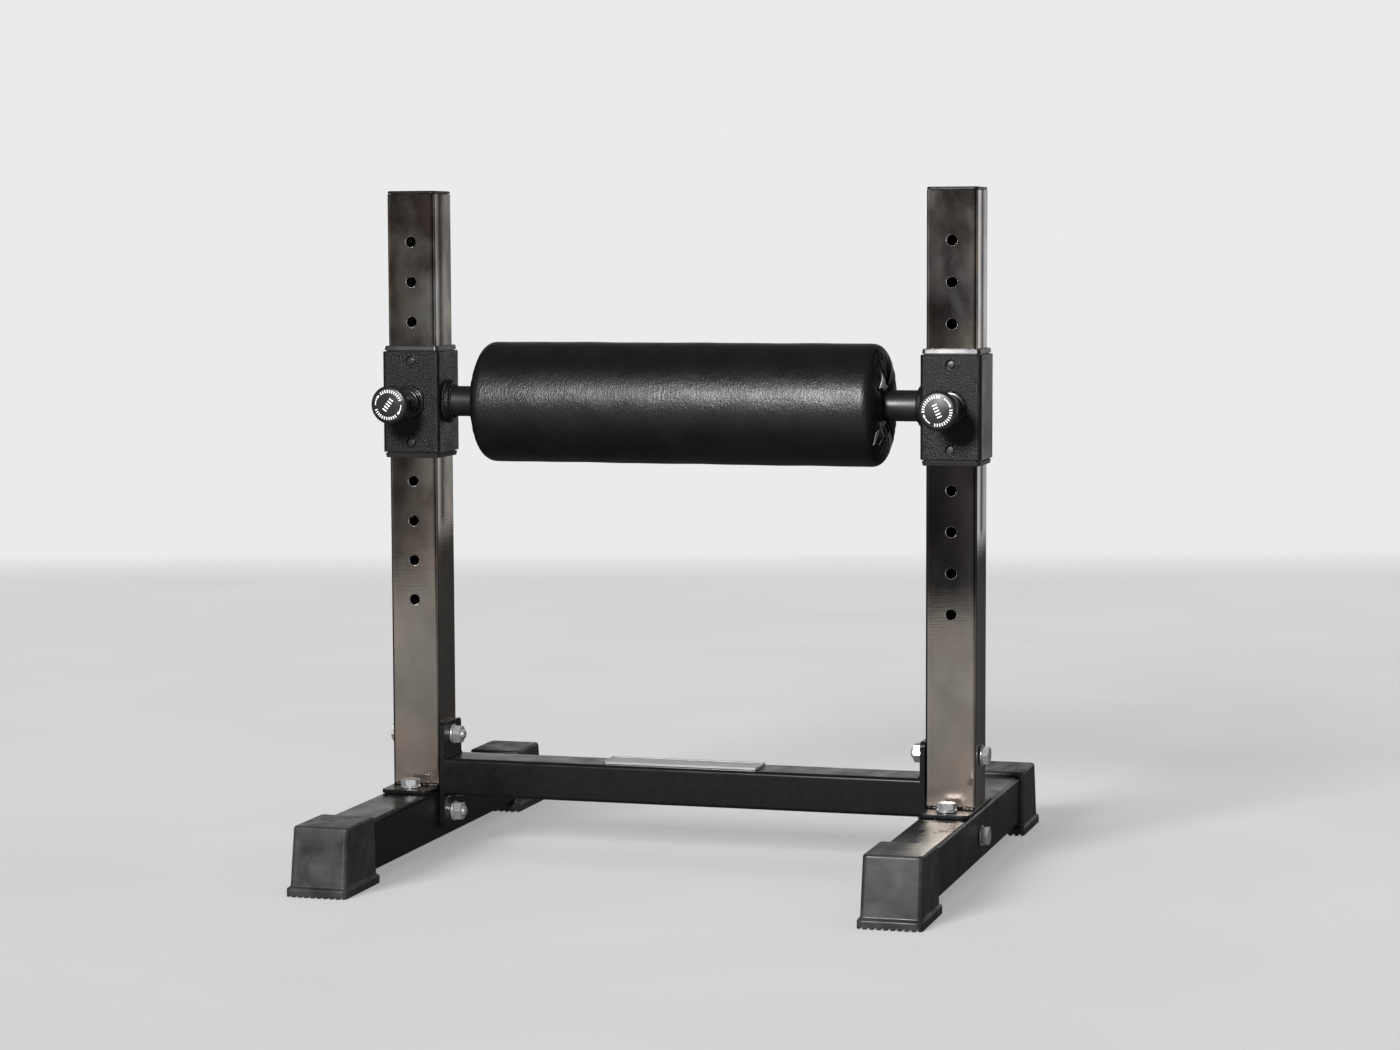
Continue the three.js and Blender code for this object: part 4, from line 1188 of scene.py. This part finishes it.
# Generic marks in white print on a knob's face: ticks, two turn arrows and a row of bars.
# They are made flat in the XZ plane and then laid on the crowned face.
def print_marks(lean):
    depth, outer_lift, inner_lift = 0.1, 0.07, -0.05
    ticks = {"Count": 11, "Radius": mark_radius, "Step": 0.18, "Size": (1.1, depth, 2.9)}
    first_tick, arrow_lag = 0.35, 0.98
    bar_pitch, bar_width, bar_height = 3.0, 1.3, 4.8
    parts = []
    for start in (first_tick, first_tick + math.pi):
        parts.append(grown(dial, {**ticks, "Start": lean + start, "Material": white_print}))
        parts.append(thickened(arrow(lean + start - arrow_lag), (0, -depth, 0)))
    for i in range(-2, 3):
        low = (i * bar_pitch - bar_width / 2, -depth / 2, -bar_height / 2)
        high = (i * bar_pitch + bar_width / 2, depth / 2, bar_height / 2)
        parts.append(moved(block(low, high), Matrix.Rotation(lean, 4, "Y")))
    shape = joined(*parts)
    for vertex in shape.verts:
        radius = math.hypot(vertex.co.x, vertex.co.z)
        lift = outer_lift if vertex.co.y < 0 else inner_lift
        vertex.co.y = -sleeve_face - dome_depth(radius) - lift
    return shape


def add_pull_pins():
    for side, x in uprights_x.items():
        pin, grip = side + "_pin", side + "_knob_grip"
        rows = (
            ("_barrel_steel", barrel(), "carriage", "black_satin", satin_black, "_pin_barrel"),
            ("_pin_coil", spring(), "carriage", "zinc", zinc, "_pin_spring"),
            ("_pin_steel", pull_pin(), pin, "zinc", zinc, "_pull_pin"),
            ("_knob_body", knob(), grip, "knob_plastic", knob_plastic, "_knob"),
        )
        for name, shape, body, slot, material, node in rows:
            even = name != "_pin_coil"
            piece(side + name, on_pin(shape, x), body, material, [side + node], even=even)
        marks = moved(print_marks(knob_leans[side]), (x, 0, carriage_height))
        piece(side + "_knob_marks", marks, grip, white_print, even=False)
        ring = circle((x, -sleeve_face - 0.5, carriage_height), 15.6, "Y")
        bead = lump_rows([ring], spacing=1.9, size=(2.0, 2.0, 2.6), jitter=0.2, seed=11, material=satin_black)
        piece(side + "_barrel_weld", bead, "carriage", satin_black, even=False)


# Pad: core tube, foam roll and the leather cover gathered into both ends
pad_radius = 60.0
cover_straight = 193.0
cover_thickness = 1.5
cover_columns = 160
cover_rows = 32
mouth_radius = 20.6
face_start = 52.5
gather_reach = 14.0
gather_start = 199.5
fold_depth = 3.4
seam_column = 56
mouth_gaps = {1: ((0.0, 0.42, 9.0), (math.pi - 0.25, 0.16, 6.0)), -1: ((2.4, 0.3, 7.0), (5.2, 0.2, 5.0))}
sim_frames = 20
sim_reach = 3.0


def add_pad_core():
    inner, outer, end = 15.5, 17.5, 205.0
    outline = [(inner, -end), (outer, -end), (outer, end), (inner, end), (inner, -end)]
    piece("pad_core_tube", on_axle(turned(outline)), "pad", core_plastic, ["pad_core"])


def add_foam():
    bore, outer, end, round_over = 17.8, 57.2, 202.5, 12.0
    half = []
    for cosine, sine in arc(10):
        half.append((outer - round_over * (1 - cosine), end - round_over + round_over * sine))
    other_half = [(radius, -height) for radius, height in reversed(half)]
    outline = [(bore, -end), *other_half, *half, (bore, end), (bore, -end)]
    return piece("foam_roll", on_axle(turned(outline, fine_sides)), "pad", foam, ["pad_foam"])


# Pleats round a mouth, from 0 in a valley to 1 on a crest, uneven in width and depth
def pleat(angle, end):
    shift = 0.7 if end > 0 else 2.1
    warped = angle + 0.16 * math.sin(3 * angle + shift) + 0.09 * math.sin(5 * angle + 2 * shift)
    broad = abs(math.cos(10.5 * warped + shift))
    small = abs(math.cos(17.5 * warped + 1.3 * math.sin(2 * angle)))
    return 0.7 * broad**0.7 + 0.3 * small**0.7


# From the straight side over the shoulder and in across the end face to the drawn-in mouth
def cover_profile():
    shoulder_length, shoulder_depth, shoulder_sweep = 12.2, 12, math.radians(68)
    points = []
    for cosine, sine in arc(8, shoulder_sweep)[1:]:
        points.append((cover_straight + shoulder_length * sine, pad_radius - shoulder_depth * (1 - cosine)))
    face = [(12.6, 50.5), (13.6, 48), (14.3, 45.4), (14.8, 42.6), (15.1, 39.8), (15.3, 37), (15.3, 34.2)]
    face += [(15.2, 31.4), (15.0, 28.6), (14.7, 26), (14.3, 23.6), (13.6, 21.6), (12.7, mouth_radius)]
    return points + [(cover_straight + out, radius) for out, radius in face]


# How far a point's ring is drawn in: 0 on the shoulder, 1 near the mouth
def drawn_in(radius):
    return min(1.0, max(0.0, (face_start - radius) / gather_reach))


def cover_point(x, radius, angle):
    end = 1 if x > 0 else -1
    pull = drawn_in(radius)
    fold = pleat(angle, end)
    along = x - end * fold_depth * (1 - fold) * pull**0.7
    out = radius + 1.2 * (fold - 0.6) * pull
    lean = angle + 0.05 * math.sin(21 * angle + 2.0 * end) * pull
    near_mouth = max(0.0, 1 - (radius - mouth_radius) / gather_reach)
    for place, width, depth in mouth_gaps[end]:
        off = (angle - place + math.pi) % math.tau - math.pi
        out += depth * near_mouth * max(0.0, 1 - abs(off) / width)
    slack = 0.3 * math.sin(0.08 * x + 2 * angle) * math.sin(3 * angle + 0.03 * x + 1)
    out += slack * (1 - pull)
    return Vector((along, out * math.sin(lean), out * math.cos(lean)))


def cover_shape():
    sides = cover_profile()
    rows = [(-x, radius) for x, radius in reversed(sides)]
    span = 2 * cover_straight
    rows += [(-cover_straight + span * i / cover_rows, pad_radius) for i in range(cover_rows + 1)]
    shape = bmesh.new()
    loops = []
    for x, radius in rows + sides:
        points = [cover_point(x, radius, math.tau * i / cover_columns) for i in range(cover_columns)]
        loops.append([shape.verts.new(point) for point in points])
    for low, high in zip(loops, loops[1:]):
        for i, corner in enumerate(low):
            after = (i + 1) % cover_columns
            shape.faces.new((corner, high[i], high[after], low[after]))
    return shape


# Cloth simulation: the leather swells over the foam, and the spare leather at the ends buckles into folds
def settled(shape, foam_roll):
    start = [vertex.co.copy() for vertex in shape.verts]
    cover = scratch_object(shape)
    cover.data.transform(Matrix.Scale(millimetre, 4) @ Matrix.Translation((0, 0, carriage_height)))
    held = cover.vertex_groups.new(name="held")
    spare = cover.vertex_groups.new(name="spare")
    for i, point in enumerate(start):
        mouth = i < 2 * cover_columns or i >= len(start) - 2 * cover_columns
        held.add([i], 1.0 if mouth else 0.0, "REPLACE")
        spare.add([i], drawn_in(math.hypot(point.y, point.z)), "REPLACE")
    wall = foam_roll.modifiers.new("wall", "COLLISION")
    set_all(foam_roll.collision, thickness_outer=0.0006, thickness_inner=0.004)
    cloth = cover.modifiers.new("cloth", "CLOTH")
    set_all(cloth.settings, quality=7, mass=0.5, tension_stiffness=30, compression_stiffness=30)
    set_all(cloth.settings, shear_stiffness=12, bending_stiffness=1.0)
    set_all(cloth.settings, use_pressure=True, uniform_pressure_force=4)
    cloth.settings.effector_weights.gravity = 0
    set_all(cloth.settings, vertex_group_mass="held", vertex_group_shrink="spare")
    set_all(cloth.settings, shrink_min=0.0, shrink_max=-0.22)
    set_all(cloth.collision_settings, use_collision=True, distance_min=0.0008, collision_quality=3)
    set_all(cloth.point_cache, frame_start=1, frame_end=sim_frames)
    for frame_number in range(1, sim_frames + 1):
        bpy.context.scene.frame_set(frame_number)
    result = evaluated_shape(cover)
    bpy.context.scene.frame_set(1)
    bpy.data.objects.remove(cover)
    foam_roll.modifiers.remove(wall)
    for vertex, place in zip(result.verts, start):
        settled_place = vertex.co / millimetre - Vector((0, 0, carriage_height))
        step = settled_place - place
        if step.length > sim_reach:
            step *= sim_reach / step.length
        vertex.co = place + step
    shape.free()
    return result


# Sinks the seam into the leather and gives a row of points for the stitches on each side of it
def sunk_seam(shape):
    ends, sink, stitch_gap, stitch_lift = 6, 0.9, 3.2, 0.25
    shape.verts.ensure_lookup_table()
    seam = [vertex for i, vertex in enumerate(shape.verts) if i % cover_columns == seam_column]
    inner = len(cover_profile())
    seam = seam[inner - ends : ends - inner]
    rows = []
    for side in (-1, 1):
        row = []
        for vertex in seam:
            out = Vector((0, vertex.co.y, vertex.co.z)).normalized()
            across = Vector((1, 0, 0)).cross(out)
            place = vertex.co + across * side * stitch_gap + out * stitch_lift
            row.append(place + Vector((0, 0, carriage_height)))
        rows.append(row)
    for vertex in seam:
        out = Vector((0, vertex.co.y, vertex.co.z)).normalized()
        vertex.co -= out * sink
    return rows


def add_cover(foam_roll):
    shape = cover_shape()
    shape = settled(shape, foam_roll)
    stitch_rows = sunk_seam(shape)
    skin = BVHTree.FromBMesh(shape)
    shape = moved(shape, (0, 0, carriage_height))
    obj = piece("leather_cover", shape, "pad", leather, ["pad_cover"], sharp=180, even=False)
    obj.data.materials.append(shaded_gathered_leather)
    # The gathered ends take the copy of the leather whose lower specular level is painted shade
    for face in obj.data.polygons:
        face.material_index = 1 if abs(face.center.x) > gather_start * millimetre else 0
    wall = obj.modifiers.new("thickness", "SOLIDIFY")
    set_all(wall, thickness=cover_thickness * millimetre, offset=-1)
    smoother = obj.modifiers.new("smooth", "SUBSURF")
    set_all(smoother, levels=1, render_levels=1)
    stitches = lump_rows(stitch_rows, spacing=4.0, size=(0.8, 0.8, 3.0), jitter=0.08, seed=4, material=thread)
    piece("cover_stitches", stitches, "pad", thread, even=False)
    return skin


# Scraps in the gathers of the cover's right end: the white one is an edge of the cover's pale backing that
# shows, and the grey ones are painted highlights, glints on the edges of the folds.
# Points along Y and Z, and how pale each one is
scrap_lift = 0.5
scrap_thickness = 0.6
scrap_height = 211.0
backing_and_glint_shades = {"white": 0.62, "grey": 0.16}
backing_and_glint_outlines = {
    "white": [[(-22.8, 31.6), (-27.6, 25.7), (-30.0, 18.4), (-15.0, 17.4), (9.6, 17.0), (-11.6, 23.2)]],
    # The grey strips are painted highlights: glints on the edges of the folds
    "grey": [
        [(-35, -14.3), (-32.2, -19.5), (-22.5, -27.5), (-19.2, -29.2), (-15.2, -28.6), (-18, -25.6),
         (-29, -17.6)],
        [(-19.2, -29.2), (-28.1, -34.2), (-34.2, -36.6), (-27.1, -31.6), (-18.0, -27.4)],
        [(-35.8, -21.4), (-42, -23.6), (-45.2, -28), (-44.6, -36), (-41.2, -32), (-41.8, -27),
         (-36.6, -23.4)],
    ],
}


# Lays one scrap on the gathers; the grey ones are painted highlights
def gather_scrap(outline, skin):
    shape = bmesh.new()
    shape.faces.new([shape.verts.new((0, y, z)) for y, z in outline])
    bmesh.ops.triangulate(shape, faces=shape.faces)
    bmesh.ops.subdivide_edges(shape, edges=shape.edges, cuts=3, use_grid_fill=True)
    for vertex in shape.verts:
        nearest = skin.find_nearest(Vector((scrap_height, vertex.co.y, vertex.co.z)))[0]
        vertex.co.x = nearest.x + scrap_lift
    return thickened(shape, (-scrap_thickness, 0, 0))


# Adds the white backing scrap and the grey strips of painted highlight
def add_backing_and_glints(skin):
    for shade, scraps in backing_and_glint_outlines.items():
        shape = moved(joined(*[gather_scrap(scrap, skin) for scrap in scraps]), (0, 0, carriage_height))
        piece("cover_backing_and_glint_" + shade, shape, "pad", backing_and_glint_cloth[shade], even=False)


# Build everything
add_camera()
floor = add_floor()
add_room()
key = add_soft_box("key", place=(-0.05, -2.15, 1.22), aim=(0, 0, 0.4), size=0.42, power=80)
link_light(key, floor, "EXCLUDE")
floor_key = add_lamp("floor_key", towards=(-0.33, -1.0, 0.46), spread_angle=22, strength=3.8)
link_light(floor_key, floor, "INCLUDE")
add_lamp("overhead", towards=(0.05, 0.2, 1.0), spread_angle=80, strength=0.4).visible_glossy = False
bpy.context.scene.view_settings.view_transform = "Standard"

satin_coat = powder_coat("satin_black_coat", 0.0055, 0.28, specular=0.2, grain=900, grain_depth=0.00003)
textured_coat = powder_coat("textured_black_coat", 0.0045, 0.34, specular=0.2, grain=900, grain_depth=0.0007)
satin_black = powder_coat("smooth_black_coat", 0.006, 0.26, specular=0.3, grain=700, grain_depth=0.00001)
axle_coat = powder_coat("axle_black_coat", 0.006, 0.4, specular=0.5, grain=700, grain_depth=0.000008)
chrome = dark_chrome()
weld_steel = bright_metal("weld_steel", (0.07, 0.066, 0.062), 0.3)
zinc = bright_metal("bright_zinc", (0.8, 0.8, 0.81), 0.26, metallic=0.8)
plate_metal = bright_metal("brushed_plate", (0.76, 0.76, 0.765), 0.36, brushing=(0.02, 1, 1))
cap_plastic = moulded_plastic("cap_plastic", 0.006, 0.35, specular=0.16)
liner_plastic = moulded_plastic("liner_plastic", 0.01, 0.33)
knob_plastic = moulded_plastic("knob_plastic", 0.007, 0.34)
core_plastic = moulded_plastic("core_plastic", 0.04, 0.5)
white_print = finish("white_print", grey(0.78), 0.5)
rubber = boot_rubber()
leather = black_leather("black_leather", roughness=0.365, specular=0.43, crumple=0.0002)
# A copy of the leather for the gathered ends: rougher and more crumpled, and its lower specular level is
# painted shade that darkens them
shaded_gathered_leather = black_leather("shaded_gathered_leather", roughness=0.5, specular=0.14, crumple=0.0009)
thread = finish("black_thread", (0.012, 0.012, 0.0125), 0.6, specular=0.3)
foam = white_foam()
# The grey cloth is painted highlight on the edges of the folds
backing_and_glint_cloth = {name: woven_cloth(name + "_backing_and_glint_cloth", shade) for name, shade in backing_and_glint_shades.items()}

lumps = lumps_tree()
bars_row = bars_tree()
dial = dial_tree()

add_uprights()
add_base_tubes()
add_boots()
add_caps()
add_crossmember()
add_nameplate()
add_foot_bolts()
add_cross_fasteners()
add_sleeves()
add_axle()
add_pull_pins()
add_pad_core()
foam_roll = add_foam()
add_backing_and_glints(add_cover(foam_roll))
